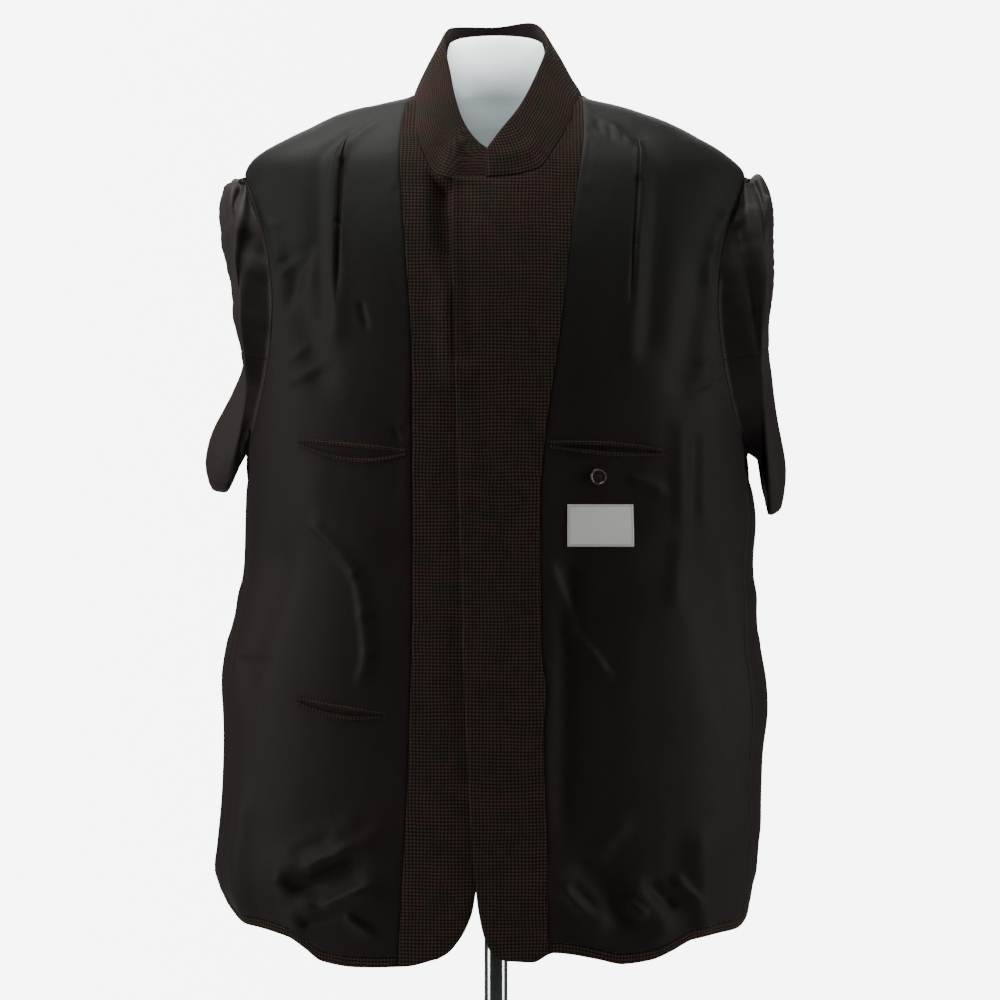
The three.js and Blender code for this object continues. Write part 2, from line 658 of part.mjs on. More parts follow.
/** Edge down the armhole and then a side seam, sampled at the rows. */
function outerEdge(side, which, bottomTurn) {
  const joinAngle = which === 'front' ? FRONT_JOIN : 360 - FRONT_JOIN;
  const startAngle = which === 'front' ? 0 : 360;
  const joinZ = ARMHOLE.z + (ARMHOLE.height / 2) * Math.cos(joinAngle * RADIANS);
  const bottomZ = hemHeight(side, bottomTurn) + TURNUP;
  return (v) => {
    if (v <= JOIN_SHARE) {
      return armholePlace(side, startAngle + (joinAngle - startAngle) * (v / JOIN_SHARE), 0);
    }
    const t = (v - JOIN_SHARE) / (1 - JOIN_SHARE);
    const seam = sideSeamPlace(side, which, joinZ + (bottomZ - joinZ) * t);
    const join = armholePlace(side, joinAngle, 0);
    const nominal = sideSeamPlace(side, which, joinZ);
    return [seam[0] + (join[0] - nominal[0]) * (1 - t) ** 2, seam[1]];
  };
}

const sides = [
  { side: -1, name: 'left', seam: FACING_SEAM_LEFT, edge: FRONT_EDGE_LEFT, gorge: GORGE_LEFT },
  { side: 1, name: 'right', seam: FACING_SEAM_RIGHT, edge: FRONT_EDGE_RIGHT, gorge: GORGE_RIGHT },
];

const fronts = {};
const facings = {};
const backs = {};

for (const { side, name, seam, edge, gorge } of sides) {
  const lapped = side > 0;
  const sleeve = side < 0 ? SLEEVE_LEFT : SLEEVE_RIGHT;
  const fullRows = shares(FULL_ROWS);
  const sideTurn = seamFootTurn(side, 'front');
  const backTurn = seamFootTurn(side, 'back');
  const { curve: rawSeam, total: seamLength } = frontCurve(seam);
  const hemAt = (x) => hemHeight(side, Math.abs(turnAt(x, 710)));
  const facingSeam = (v) => {
    const [x, z] = rawSeam(v);
    return [x, z + (hemAt(rawSeam(1)[0]) - rawSeam(1)[1]) * v ** 8];
  };
  const liningShare = 1 - TURNUP / seamLength;
  const liningSeam = (v) => onFront(facingSeam(v * liningShare));
  const seamTurn = Math.abs(liningSeam(1)[0]);
  const seamLack = facingSeam(liningShare)[1] - hemHeight(side, seamTurn) - TURNUP;
  const turnupAt = (turn) => (
    hemHeight(side, turn) + TURNUP + seamLack * Math.exp(-(((turn - seamTurn) / 3) ** 2))
  );
  const turnupLine = (from, to) => (u) => {
    const turn = from + (to - from) * u;
    return [side * turn, downAt(turnupAt(turn))];
  };
  const neckPoint = liningSeam(0);
  const tip = armholePlace(side, 0, 0);

  // Shoulder seam, along the ridge from the neck point out to the armhole.
  const shoulder = (u) => [side * 90, neckPoint[1] + (tip[1] - neckPoint[1]) * u];

  // Front lining.
  const frontArea = opened([
    shoulder,
    turnupLine(seamTurn, sideTurn),
    liningSeam,
    outerEdge(side, 'front', sideTurn),
  ], false);
  const front = panelGrid(frontArea, shares(FRONT_COLUMNS), fullRows, lapped);
  fronts[name] = front;
  add(`front_lining_${name}`, wall(front, CLOTH / 2, -CLOTH / 2), 'lining');

  // Facing, from the front edge to the lining's seam and down to the hem.
  const { curve: frontEdge } = frontCurve(edge);
  const [edgeX, edgeZ] = frontEdge(1);
  const foot = (u) => {
    const x = edgeX + (facingSeam(1)[0] - edgeX) * u;
    return [x, hemAt(x) + (edgeZ - hemAt(edgeX)) * (1 - u) ** 2];
  };
  const facingFlat = patch(frontCurve(gorge).curve, foot, frontEdge, facingSeam);
  const facingArea = (u, v) => onFront(facingFlat(u, v));
  const facingRows = [...fullRows.map((v) => v * liningShare), 1];
  const facing = panelGrid(facingArea, shares(FACING_COLUMNS), facingRows, lapped);
  facings[name] = facing;
  add(`facing_${name}`, wall(facing, CLOTH / 2, -CLOTH / 2), 'wool');

  // Side panel under the arm.
  const armBottom = (u) => armholePlace(side, FRONT_JOIN + (360 - 2 * FRONT_JOIN) * u, 0);
  const sideEdge = (which, turn) => {
    const whole = outerEdge(side, which, turn);
    return (v) => whole(JOIN_SHARE + (1 - JOIN_SHARE) * v);
  };
  const sideArea = patch(
    armBottom,
    turnupLine(sideTurn, backTurn),
    sideEdge('front', sideTurn),
    sideEdge('back', backTurn),
  );
  const sidePanel = panelGrid(sideArea, shares(SIDE_COLUMNS), shares(SIDE_ROWS), false);
  add(`side_lining_${name}`, wall(sidePanel, CLOTH / 2, -CLOTH / 2), 'lining');

  // Back lining, from the middle seam to the armhole and the side seam.
  const topColumns = NECK_COLUMNS + FRONT_COLUMNS;
  const neckShare = NECK_COLUMNS / topColumns;
  const backTop = (u) => {
    if (u >= neckShare) return shoulder((u - neckShare) / (1 - neckShare));
    const t = u / neckShare;
    return [side * (180 - 90 * t), neckPoint[1] * (0.35 + 0.65 * t * t)];
  };
  const backFoot = downAt(hemHeight(side, 180) + TURNUP);
  const middle = (v) => [side * 180, backTop(0)[1] + (backFoot - backTop(0)[1]) * v];
  const backArea = opened([
    backTop,
    turnupLine(180, backTurn),
    middle,
    outerEdge(side, 'back', backTurn),
  ], true);
  const back = panelGrid(backArea, shares(topColumns), fullRows, false);
  backs[name] = back;
  add(`back_lining_${name}`, wall(back, CLOTH / 2, -CLOTH / 2), 'lining');

  // Wool turned up at the hem, from the facing round to the middle back.
  const hemPart = (from, to, count, skipFirst) => {
    const turns = shares(count).map((u) => from + (to - from) * u);
    return skipFirst ? turns.slice(1) : turns;
  };
  const hemTurns = [
    ...hemPart(seamTurn, sideTurn, FRONT_COLUMNS, false),
    ...hemPart(sideTurn, backTurn, SIDE_COLUMNS, true),
    ...hemPart(backTurn, 180, topColumns, true),
  ];
  const footTurn = Math.abs(onFront(facingSeam(1))[0]);
  const band = [turnupAt, (turn) => hemHeight(side, turn)].map((height, j) => (
    hemTurns.map((turn, i) => {
      const at = i === 0 && j === 1 ? footTurn : turn;
      return skinPoint(side * at, downAt(height(at)), lapped);
    })
  ));
  add(`hem_turnup_${name}`, wall(drawnIn(band), CLOTH / 2, -CLOTH / 2), 'wool');

  // Sleeve pushed in through its armhole, its upper and under piece.
  const angles = [
    ...shares(ARM_ROWS).map((t) => FRONT_JOIN * t),
    ...shares(SIDE_COLUMNS).slice(1).map((t) => FRONT_JOIN + (360 - 2 * FRONT_JOIN) * t),
    ...shares(ARM_ROWS).slice(1, -1).map((t) => 360 - FRONT_JOIN + FRONT_JOIN * t),
  ];
  const tube = sleeveGrid(side, sleeve, angles);
  const ending = angles.length - SLEEVE_SEAM_COLUMN;
  const under = tube.map((loop) => loop.slice(SLEEVE_SEAM_COLUMN, ending + 1));
  const upper = tube.map((loop) => [...loop.slice(ending), ...loop.slice(0, SLEEVE_SEAM_COLUMN + 1)]);
  for (const [which, grid] of [['upper', upper], ['under', under]]) {
    add(`sleeve_${which}_${name}`, wall(drawnIn(grid), CLOTH / 2, -CLOTH / 2), 'lining');
  }
}

/** Loops of a sleeve, each with a point and a normal at every given angle. */
function sleeveGrid(side, table, angles) {
  const points = [];
  for (const [shrink, out] of [[0, 0], [SLEEVE_START, 1.5]]) {
    points.push(angles.map((angle) => {
      const [turn, down] = armholePlace(side, angle, shrink);
      const { point, normal } = skinPoint(turn, down, false);
      return point.addScaledVector(normal, out);
    }));
  }
  table.forEach((row, k) => {
    points.push(angles.map((angle) => {
      const c = Math.cos(angle * RADIANS);
      const s = Math.sin(angle * RADIANS);
      const below = Math.min(Math.abs(angle - 180) / FLAP_HALF_ANGLE, 1);
      const flap = Math.cos((below * Math.PI) / 2) ** 2;
      const loose = Math.max(1 - Math.abs(k - 1.5) / 3, 0);
      let gather = 0;
      for (const fold of GATHERS) {
        const rise = side < 0 ? fold.left : fold.right;
        gather += rise * Math.exp(-(((angle - fold.at) / fold.half) ** 2));
      }
      const out = (row.outHigh * (1 + c)) / 2 + (row.outLow * (1 - c)) / 2
        + row.flap * flap + gather * loose;
      const y = -(s > 0 ? row.front : row.back) * s;
      const z = (row.high * (1 + c)) / 2 + (row.low * (1 - c)) / 2 - row.drop * flap;
      return new THREE.Vector3(side * out, y, z);
    }));
  });
  const columns = angles.length;
  return points.map((loop, j) => loop.map((point, i) => {
    if (j === 0) {
      const [turn, down] = armholePlace(side, angles[i], 0);
      return { point, normal: skinNormal(turn, down) };
    }
    const ahead = points[Math.min(j + 1, points.length - 1)][i];
    const along = ahead.clone().sub(points[j - 1][i]);
    const before = loop[(i + columns - 1) % columns];
    const around = loop[(i + 1) % columns].clone().sub(before);
    const normal = around.cross(along).normalize().multiplyScalar(side);
    return { point, normal };
  }));
}

// Turned-up collar in two leaves, the wool outside and the felt at the neck.
// It stands on the top edges of the facings and the back.
function collarSeam() {
  const topEdge = (panel, from, to) => {
    const places = [];
    const step = Math.sign(to - from);
    for (let i = from; i !== to + step; i += step) {
      const { point, normal } = panel[0][i];
      const inward = inwardAt(panel, 0, i, true);
      places.push({ point: point.clone().addScaledVector(inward, -2 * SEAM_HALF), normal });
    }
    return places;
  };
  const joints = [
    ...topEdge(facings.right, NOTCH_COLUMN, FACING_COLUMNS),
    ...topEdge(backs.right, NECK_COLUMNS - 1, 1),
    ...topEdge(backs.left, 0, NECK_COLUMNS - 1),
    ...topEdge(facings.left, FACING_COLUMNS, 0),
  ];
  return joints.flatMap((joint, i) => {
    if (i === joints.length - 1) return [joint];
    const next = joints[i + 1];
    return [joint, {
      point: joint.point.clone().lerp(next.point, 0.5),
      normal: joint.normal.clone().lerp(next.normal, 0.5).normalize(),
    }];
  });
}

function collarGrid() {
  const seam = collarSeam();
  const rows = COLLAR_EDGE.map(({ x, y, z }) => new THREE.Vector3(x, y, z));
  const edge = new THREE.CatmullRomCurve3(rows, false, 'centripetal');
  const length = runningLength(seam.map(({ point }) => point.toArray()));
  const centre = new THREE.Vector3(0, -5, 1500);
  const outward = (point) => point.clone().sub(centre).setZ(0).normalize();
  const points = shares(COLLAR_ROWS).map((v) => seam.map(({ point }, i) => {
    const free = edge.getPointAt(length[i] / length[length.length - 1]);
    const mixed = point.clone().lerp(free, v);
    return mixed.addScaledVector(outward(mixed), COLLAR_BULGE * Math.sin(Math.PI * v));
  }));
  return points.map((row, j) => row.map((point, i) => {
    if (j === 0) return { point, normal: seam[i].normal };
    const across = row[Math.min(i + 1, row.length - 1)].clone().sub(row[Math.max(i - 1, 0)]);
    const up = points[Math.min(j + 1, COLLAR_ROWS)][i].clone().sub(points[j - 1][i]);
    const normal = across.cross(up).normalize();
    if (normal.dot(outward(point)) < 0) normal.negate();
    return { point, normal };
  }));
}
const collar = collarGrid();
add('top_collar', wall(collar, COLLAR_CLOTH + LEAF_GAP / 2, LEAF_GAP / 2), 'wool');
add('undercollar', wall(collar, -LEAF_GAP / 2, -FELT - LEAF_GAP / 2), 'felt');

/** Point on a panel's outer face at a sideways place and height. */
function onPanel(panel, x, z) {
  const outer = panel.map((row) => row.map(({ point, normal }) => (
    { point: point.clone().addScaledVector(normal, CLOTH / 2), normal }
  )));
  for (let j = 0; j < outer.length - 1; j += 1) {
    for (let i = 0; i < outer[0].length - 1; i += 1) {
      const [a, b] = [outer[j][i], outer[j + 1][i]];
      const [c, d] = [outer[j + 1][i + 1], outer[j][i + 1]];
      for (const [p, q, r] of [[a, b, c], [a, c, d]]) {
        const flat = ({ point }) => new THREE.Vector3(point.x, point.z, 0);
        const share = new THREE.Vector3();
        const found = THREE.Triangle.getBarycoord(
          new THREE.Vector3(x, z, 0), flat(p), flat(q), flat(r), share,
        );
        if (found && Math.min(share.x, share.y, share.z) >= 0) {
          const mix = (key) => p[key].clone().multiplyScalar(share.x)
            .addScaledVector(q[key], share.y).addScaledVector(r[key], share.z);
          return { point: mix('point'), normal: mix('normal').normalize() };
        }
      }
    }
  }
  throw new Error(`no panel at ${x}, ${z}`);
}

// Piped pocket mouths, two lips each, on the lining.
function frontPlace(x, z) {
  return onPanel(x < 0 ? fronts.left : fronts.right, x, z);
}
for (const { name, x0, z0, x1, z1, gape, sag, lip } of POCKETS) {
  for (const [which, sign] of [['upper', 1], ['lower', -1]]) {
    const rows = [0, 1].map((k) => shares(POCKET_COLUMNS).map((u) => {
      const bow = Math.sin(Math.PI * u);
      const x = x0 + (x1 - x0) * u;
      const middle = z0 + (z1 - z0) * u - sag * bow;
      const near = 0.2 + (gape / 2) * bow;
      return frontPlace(x, middle + sign * (near + k * lip * (0.55 + 0.45 * bow)));
    }));
    add(`pocket_${name}_${which}_lip`, wall(rows, RAISED + PIPING, RAISED), 'wool');
  }
}

/** Puts a shape made round +Z on the front, resting on the skin. */
function setOnFront(geometry, x, z) {
  const { point, normal } = frontPlace(x, z);
  const turned = new THREE.Quaternion().setFromUnitVectors(new THREE.Vector3(0, 0, 1), normal);
  geometry.applyQuaternion(turned);
  const start = point.addScaledVector(normal, RAISED);
  geometry.translate(start.x, start.y, start.z);
  return geometry;
}

// Pocket button with a raised rim and a dished middle.
const { radius, thickness, rim, dish } = BUTTON;
const buttonProfile = [
  new THREE.Vector2(0, 0),
  new THREE.Vector2(radius - 1, 0),
  new THREE.Vector2(radius, 1),
  new THREE.Vector2(radius - 0.5, thickness - 0.3),
  new THREE.Vector2(radius - rim / 2, thickness),
  new THREE.Vector2(radius - rim, thickness - dish),
  new THREE.Vector2(0, thickness - dish),
];
const button = new THREE.LatheGeometry(buttonProfile, 24).rotateX(Math.PI / 2);
add('pocket_button', setOnFront(button, BUTTON.x, BUTTON.z), 'button');

// Bare woven label, following the lining under it.
const labelRows = shares(4).map((v) => shares(6).map((u) => frontPlace(
  LABEL.x + LABEL.width * (u - 0.5),
  LABEL.z + LABEL.height * (0.5 - v),
)));
add('woven_label', wall(labelRows, RAISED + LABEL.thickness, RAISED), 'label');

// Dress form: a smooth closed body from its underside to the neck's top.
function formGeometry() {
  const positions = [];
  for (const { z, half, front: ahead, back: behind } of FORM) {
    for (let i = 0; i < FORM_COLUMNS; i += 1) {
      const a = (i / FORM_COLUMNS) * 2 * Math.PI;
      const depth = Math.cos(a) > 0 ? ahead : behind;
      positions.push(half * Math.sin(a), -depth * Math.cos(a), z);
    }
  }
  const bottom = FORM.length * FORM_COLUMNS;
  positions.push(0, 0, FORM[0].z, 0, 0, FORM[FORM.length - 1].z);
  const index = [];
  for (let i = 0; i < FORM_COLUMNS; i += 1) {
    const next = (i + 1) % FORM_COLUMNS;
    for (let j = 0; j < FORM.length - 1; j += 1) {
      const a = j * FORM_COLUMNS;
      const b = a + FORM_COLUMNS;
      index.push(a + i, a + next, b + next, a + i, b + next, b + i);
    }
    const top = (FORM.length - 1) * FORM_COLUMNS;
    index.push(bottom, next, i, bottom + 1, top + i, top + next);
  }
  const geometry = new THREE.BufferGeometry();
  geometry.setAttribute('position', new THREE.Float32BufferAttribute(positions, 3));
  geometry.setIndex(index);
  return facingOut(geometry);
}
add('dress_form', formGeometry(), 'form');

// Pole and weighted base.
const poleBottom = BOSS_TOP + REST_GAP;
const poleTop = FORM[0].z - REST_GAP;
const pole = new THREE.CylinderGeometry(POLE_RADIUS, POLE_RADIUS, poleTop - poleBottom, 32);
pole.rotateX(Math.PI / 2).translate(0, 0, (poleTop + poleBottom) / 2);
add('stand_pole', pole, 'chrome');

const baseProfile = [
  new THREE.Vector2(0, 0),
  new THREE.Vector2(BASE_RADIUS - 2, 0),
  new THREE.Vector2(BASE_RADIUS, 2),
  new THREE.Vector2(BASE_RADIUS, BASE_THICKNESS - 3),
  new THREE.Vector2(BASE_RADIUS - 3, BASE_THICKNESS),
  new THREE.Vector2(BOSS_RADIUS + 8, BASE_THICKNESS + 3),
  new THREE.Vector2(BOSS_RADIUS, BASE_THICKNESS + 10),
  new THREE.Vector2(BOSS_RADIUS - 3, BOSS_TOP - 4),
  new THREE.Vector2(BOSS_RADIUS - 7, BOSS_TOP),
  new THREE.Vector2(0, BOSS_TOP),
];
add('stand_base', new THREE.LatheGeometry(baseProfile, 64).rotateX(Math.PI / 2), 'chrome');

export default group;
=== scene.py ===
"""Sport coat worn inside out on a dress form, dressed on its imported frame.

Lengths in the tables are millimetres, and become metres where a mesh is made.
+Z is up, the coat's front faces -Y, and left is the photo's left, -X. A place
on the coat is its turn, in degrees round from the front, and how far down it
is, measured along the shoulder and then down the side.
"""

import logging
import math
from collections.abc import Callable, Sequence
from dataclasses import dataclass, field
from enum import Enum
from typing import Any, ClassVar, NamedTuple

import bpy
import numpy as np
from bpy.types import Material, Node, NodeSocket, NodeTree, Object
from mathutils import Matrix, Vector


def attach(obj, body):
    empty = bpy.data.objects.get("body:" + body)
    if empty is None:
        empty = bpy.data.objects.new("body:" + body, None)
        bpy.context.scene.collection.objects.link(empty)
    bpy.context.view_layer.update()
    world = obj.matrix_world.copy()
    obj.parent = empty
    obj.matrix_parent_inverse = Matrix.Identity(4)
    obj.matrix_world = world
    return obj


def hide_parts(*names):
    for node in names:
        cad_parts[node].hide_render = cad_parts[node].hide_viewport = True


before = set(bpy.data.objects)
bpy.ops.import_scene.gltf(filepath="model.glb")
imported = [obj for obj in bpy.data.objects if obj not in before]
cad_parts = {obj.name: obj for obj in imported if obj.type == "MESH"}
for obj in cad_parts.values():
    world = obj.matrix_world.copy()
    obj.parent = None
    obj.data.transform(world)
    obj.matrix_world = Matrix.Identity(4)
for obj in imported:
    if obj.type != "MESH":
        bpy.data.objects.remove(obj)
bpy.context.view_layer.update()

LOG = logging.getLogger("sport_coat")
BODY = "root"
MM = 0.001

Array = np.ndarray
Curve = Callable[[Array], Array]
Area = Callable[[Array, Array], Array]

CLOTH = 2.2  # wool, interlining and lining pressed into one wall
COLLAR_CLOTH = 1.6
FELT = 1.4
LEAF_GAP = 0.3
SQUARENESS = 2.3  # 2 would make the level outlines ellipses
WIDEST = 267
TURNUP = 9
HEM_STEP = 0.35  # how far the turned-up band lies under the lining's face
LAP_LIFT = 3.6
LAPEL_LIFT = 5.5
ARM_ROWS = 11  # rows of the CAD's cloth down the armhole, and then the side seam
SIDE_ROWS = 14
FRONT_COLUMNS = 8
NECK_COLUMNS = 3
JOIN_SHARE = ARM_ROWS / (ARM_ROWS + SIDE_ROWS)
NOTCH_SHARE = 1 / 8  # where the collar starts on the right gorge
GORGE_END = 0.985
NECK_END = 0.93
MIDDLE_GAP = 0.01
FACING_SIZE = (95, 800)
FRONT_JOIN = 150  # angle on the armhole where the side panel's seam starts
FLAP_HALF_ANGLE = 72
GATHER_SHARE = 0.55
SLEEVE_START = 5
SLEEVE_SEAM_ANGLE = FRONT_JOIN * 8 / ARM_ROWS
ARMHOLE_Z = 1293
ARMHOLE_HEIGHT = 266
ARMHOLE_WIDTH = 31
ARMHOLE_FLARE = 3
COLLAR_BULGE = 1
COLLAR_HEIGHT = 56
NECK_MIDDLE = (0.0, -5.0, 1500.0)
HEM_Z = 710
LEVEL_SPREADS = (9, 9, 9, 24, 24)  # how far each column of the levels is rounded
RELAX_START = 70
RELAX_EASE = (50, 60)
FOLD_DEGREE = 3.5  # mm round the coat that a degree of turn stands for
ARMHOLE_DEGREE = 3.4
SIDE_DEGREE = 3
SLEEVE_DEGREE = 1.6
SLEEVE_FINE_RUN = 150
LAPEL_Z = 1390
LAPEL_REACH = 110
LAP_START = 70
LAP_EASE = 45
HELD_EDGE = 6  # how far in from a seam the cloth is held down
EDGE_ROUND = 1.3
PUCKER_DEPTH = 0.7
PUCKER_REACH = 10
POCKET_DEPTH = 2.4
HOLE_PLACE = 1.35  # from the button's middle to a hole, across and up
HOLE_RADIUS = 0.62
HOLE_DEPTH = 1.5
WAVE_CELLS = 61
LABEL_INSET = (0.025, 0.035)  # of its stitches, as shares of its width and height
CHEST = (0, 0, 1.2)  # in metres, where the lights point


class Side(Enum):
    """Which half of the coat, by the sign of its X."""

    LEFT = -1
    RIGHT = 1

    @property
    def word(self) -> str:
        """The side's name as the CAD nodes spell it."""
        return self.name.lower()


class Level(NamedTuple):
    """Level outline: reach to each side, and depth before and behind."""

    z: float
    left: float
    right: float
    front: float
    back: float


class Spot(NamedTuple):
    """Place on the front, by sideways place and height."""

    x: float
    z: float


class HemRow(NamedTuple):
    """Height of the hem at a turn from the middle front."""

    turn: float
    z: float


class SideSeamRow(NamedTuple):
    """Turn of the side panel's two seams on either side, at a height."""

    z: float
    front_left: float
    front_right: float
    back_left: float
    back_right: float


class Fold(NamedTuple):
    """Large soft fold, by its two ends in turn and height."""

    turn0: float
    z0: float
    turn1: float
    z1: float
    rise: float
    half: float


class Crease(NamedTuple):
    """Fine fold on a piece's own plane, with a half width on either side.

    across and along are the piece's own measures, such as x and height on a
    front. rise is negative for a trough. fade is the share over which it dies
    out towards its second end, and bend how far its middle bows.
    """

    across0: float
    along0: float
    across1: float
    along1: float
    rise: float
    near: float
    far: float
    fade: float = 0.3
    bend: float = 0.0


class Loop(NamedTuple):
    """One loop of a sleeve: reach and height at its top and bottom, depth."""

    out_high: float
    out_low: float
    high: float
    low: float
    front: float
    back: float
    flap: float
    drop: float


class Gather(NamedTuple):
    """Gather in a sleeve's rim: place and half angle, rise on either side."""

    at: float
    half: float
    left: float
    right: float


class Point(NamedTuple):
    """Point in the row frame."""

    x: float
    y: float
    z: float


class FormRow(NamedTuple):
    """Ring of the dress form: height, half width, and both depths."""

    z: float
    half: float
    front: float
    back: float


class PocketRow(NamedTuple):
    """Pocket mouth: its ends, how far it gapes and sags, and a lip's height."""

    name: str
    x0: float
    z0: float
    x1: float
    z1: float
    gape: float
    sag: float
    lip: float


def rows_of(kind: Callable[..., Any], *rows: tuple) -> tuple:
    """Makes a table.

    Args:
        kind: The named tuple that each row is made.
        rows: The rows' plain values.

    Returns:
        The rows.
    """
    return tuple(kind(*row) for row in rows)


LEVELS = rows_of(
    Level, (1510, 72, 73, 22, 62), (1504, 77, 81, 32, 69), (1499, 88, 89, 41, 75),
    (1494, 111, 109, 49, 82), (1489, 136, 127, 56, 89), (1481, 158, 152, 65, 97),
    (1471, 177, 175, 76, 105), (1461, 197, 192, 86, 113), (1451, 216, 210, 94, 120),
    (1441, 230, 223, 101, 125), (1431, 237, 234, 108, 130), (1420, 238, 237, 113, 134),
    (1395, 239, 238, 124, 142), (1350, 238, 236, 139, 151), (1290, 236, 235, 149, 154),
    (1220, 235, 235, 153, 151), (1160, 235, 237, 153, 146), (1100, 236, 245, 152, 141),
    (1060, 237, 242, 151, 139), (1025, 243, 245, 151, 139), (985, 252, 247, 151, 141),
    (950, 257, 253, 151, 144), (920, 256, 255, 150, 147), (875, 257, 251, 149, 150),
    (815, 261, 250, 147, 153), (780, 264, 245, 146, 155), (755, 261, 242, 145, 156),
    (735, 252, 239, 144, 156), (690, 246, 236, 142, 155),
)
FACING_SEAM_LEFT = rows_of(
    Spot, (-77, 1504), (-83, 1490), (-88, 1444), (-82, 1347), (-76, 1256), (-75, 1030), (-77, 948),
    (-80, 858), (-84, 786), (-89, 697),
)
FACING_SEAM_RIGHT = rows_of(
    Spot, (81, 1504), (81, 1464), (72, 1394), (58, 1274), (44, 1174), (40, 1120), (41, 985),
    (45, 948), (43, 903), (47, 777), (47, 708),
)
FRONT_EDGE_LEFT = rows_of(
    Spot, (14, 1410), (18, 1300), (20, 1000), (14, 870), (1, 820), (-16, 777), (-21, 748),
    (-28, 730), (-35, 719), (-43, 710), (-53, 704),
)
FRONT_EDGE_RIGHT = rows_of(
    Spot, (-38, 1410), (-37, 1300), (-31, 1030), (-24, 850), (-20, 790), (-17, 758), (-12, 730),
    (-7, 716), (-1, 707), (10, 703),
)
GORGE_LEFT = rows_of(
    Spot, (14, 1410), (-36, 1410), (-54, 1416), (-66, 1437), (-73, 1463), (-74, 1490), (-77, 1504),
)
GORGE_RIGHT = rows_of(
    Spot, (-38, 1410), (8, 1411), (38, 1419), (52, 1439), (65, 1463), (73, 1490), (81, 1504),
)
HEM_LEFT = rows_of(
    HemRow, (10, 703), (16, 697), (28, 695), (37, 699), (42, 710), (47, 719), (58, 725), (70, 729),
    (80, 738), (95, 748), (114, 751), (180, 750),
)
HEM_RIGHT = rows_of(
    HemRow, (2, 703), (6, 702), (10, 710), (14, 708), (20, 703), (26, 698), (34, 701), (40, 708),
    (47, 717), (58, 720), (68, 721), (78, 726), (92, 739), (114, 749), (180, 750),
)
SIDE_SEAMS = rows_of(
    SideSeamRow, (1176, 76, 76, 104, 104), (1060, 77, 71, 107, 107), (960, 74, 68, 110, 110),
    (860, 77, 69, 112, 112), (740, 75, 73, 114, 114),
)

# Pleats, drags, pocket bags, waist, hem, flutes, back and lapel, left before right.
FOLDS = rows_of(
    Fold, (-36, 1462, -35, 1275, 2.5, 10), (-40, 1458, -39, 1290, -2.5, 12),
    (33, 1460, 28, 1255, 2.5, 10), (37, 1458, 33, 1265, -2.5, 12), (-50, 1330, -40, 1235, -4, 18),
    (50, 1320, 44, 1230, -4, 18), (-42, 1120, -28, 1085, 4, 28), (45, 1120, 26, 1080, 4, 28),
    (-55, 1060, -62, 960, -5, 26), (52, 1040, 58, 930, -5, 26), (-44, 780, -26, 812, 7, 17),
    (-43, 738, -24, 766, 6, 14), (-40, 764, -27, 784, -5, 12), (11, 775, 19, 738, 5, 13),
    (17, 790, 24, 745, -4, 13), (28, 765, 36, 730, 5, 14), (46, 800, 50, 735, 6, 16),
    (-62, 830, -64, 740, 5, 18), (-146, 1230, -141, 765, 8, 26), (-158, 1180, -156, 790, -7, 22),
    (149, 1260, 143, 770, 8, 25), (160, 1150, 158, 800, -7, 22), (-160, 1455, 162, 1452, 4, 14),
    (-122, 1270, -138, 1180, -5, 20), (121, 1260, 139, 1170, -5, 20), (-9, 1410, -7, 1230, 4, 9),
    (-6, 1400, -5, 1250, -3, 7),
)

# From the swell of the head over the rim, into the mouth and down to the cuff.
SLEEVE_LEFT = rows_of(
    Loop, (247, 226, 1423, 1172, 84, 77, 20, 22), (254, 220, 1411, 1182, 73, 67, 37, 54),
    (257, 221, 1397, 1190, 62, 58, 47, 60), (255, 225, 1383, 1200, 54, 52, 50, 46),
    (245, 231, 1371, 1212, 47, 46, 29, 14), (226, 228, 1362, 1212, 49, 48, 4, 0),
    (204, 226, 1342, 1188, 61, 58, 0, 0), (193, 225, 1284, 1130, 68, 64, 0, 0),
    (190, 223, 1190, 1050, 70, 66, 0, 0), (193, 228, 1080, 968, 66, 68, 0, 0),
    (190, 226, 950, 880, 67, 62, 0, 0), (191, 222, 820, 806, 60, 56, 0, 0),
)
SLEEVE_RIGHT = rows_of(
    Loop, (248, 243, 1428, 1170, 84, 77, 12, 18), (256, 246, 1417, 1181, 74, 68, 14, 74),
    (259, 250, 1402, 1190, 63, 58, 19, 78), (257, 253, 1384, 1199, 55, 52, 21, 54),
    (247, 246, 1372, 1211, 48, 46, 15, 14), (226, 232, 1360, 1211, 49, 48, 0, 0),
    (204, 226, 1340, 1186, 61, 58, 0, 0), (193, 225, 1280, 1126, 68, 64, 0, 0),
    (190, 224, 1186, 1046, 69, 66, 0, 0), (192, 227, 1074, 962, 67, 66, 0, 0),
    (190, 225, 946, 876, 66, 62, 0, 0), (191, 222, 818, 804, 60, 56, 0, 0),
)
GATHERS = rows_of(
    Gather, (34, 14, 3, 3), (64, 12, -3, -4), (94, 13, 4, -6), (124, 11, -4, 5), (232, 14, -4, 4),
    (262, 14, 5, -4), (300, 14, -4, 4), (330, 12, 3, -3),
)
COLLAR_EDGE = rows_of(
    Point, (-9, -116, 1440), (5, -106, 1460), (20, -93, 1480), (31, -78, 1501), (40, -58, 1522),
    (47, -34, 1543), (46, -3, 1562), (33, 28, 1577), (0, 54, 1577), (-36, 28, 1573),
    (-46, -2, 1565), (-48, -30, 1547), (-43, -54, 1521), (-37, -76, 1491), (-28, -92, 1465),
    (-13, -103, 1446), (6, -110, 1436),
)
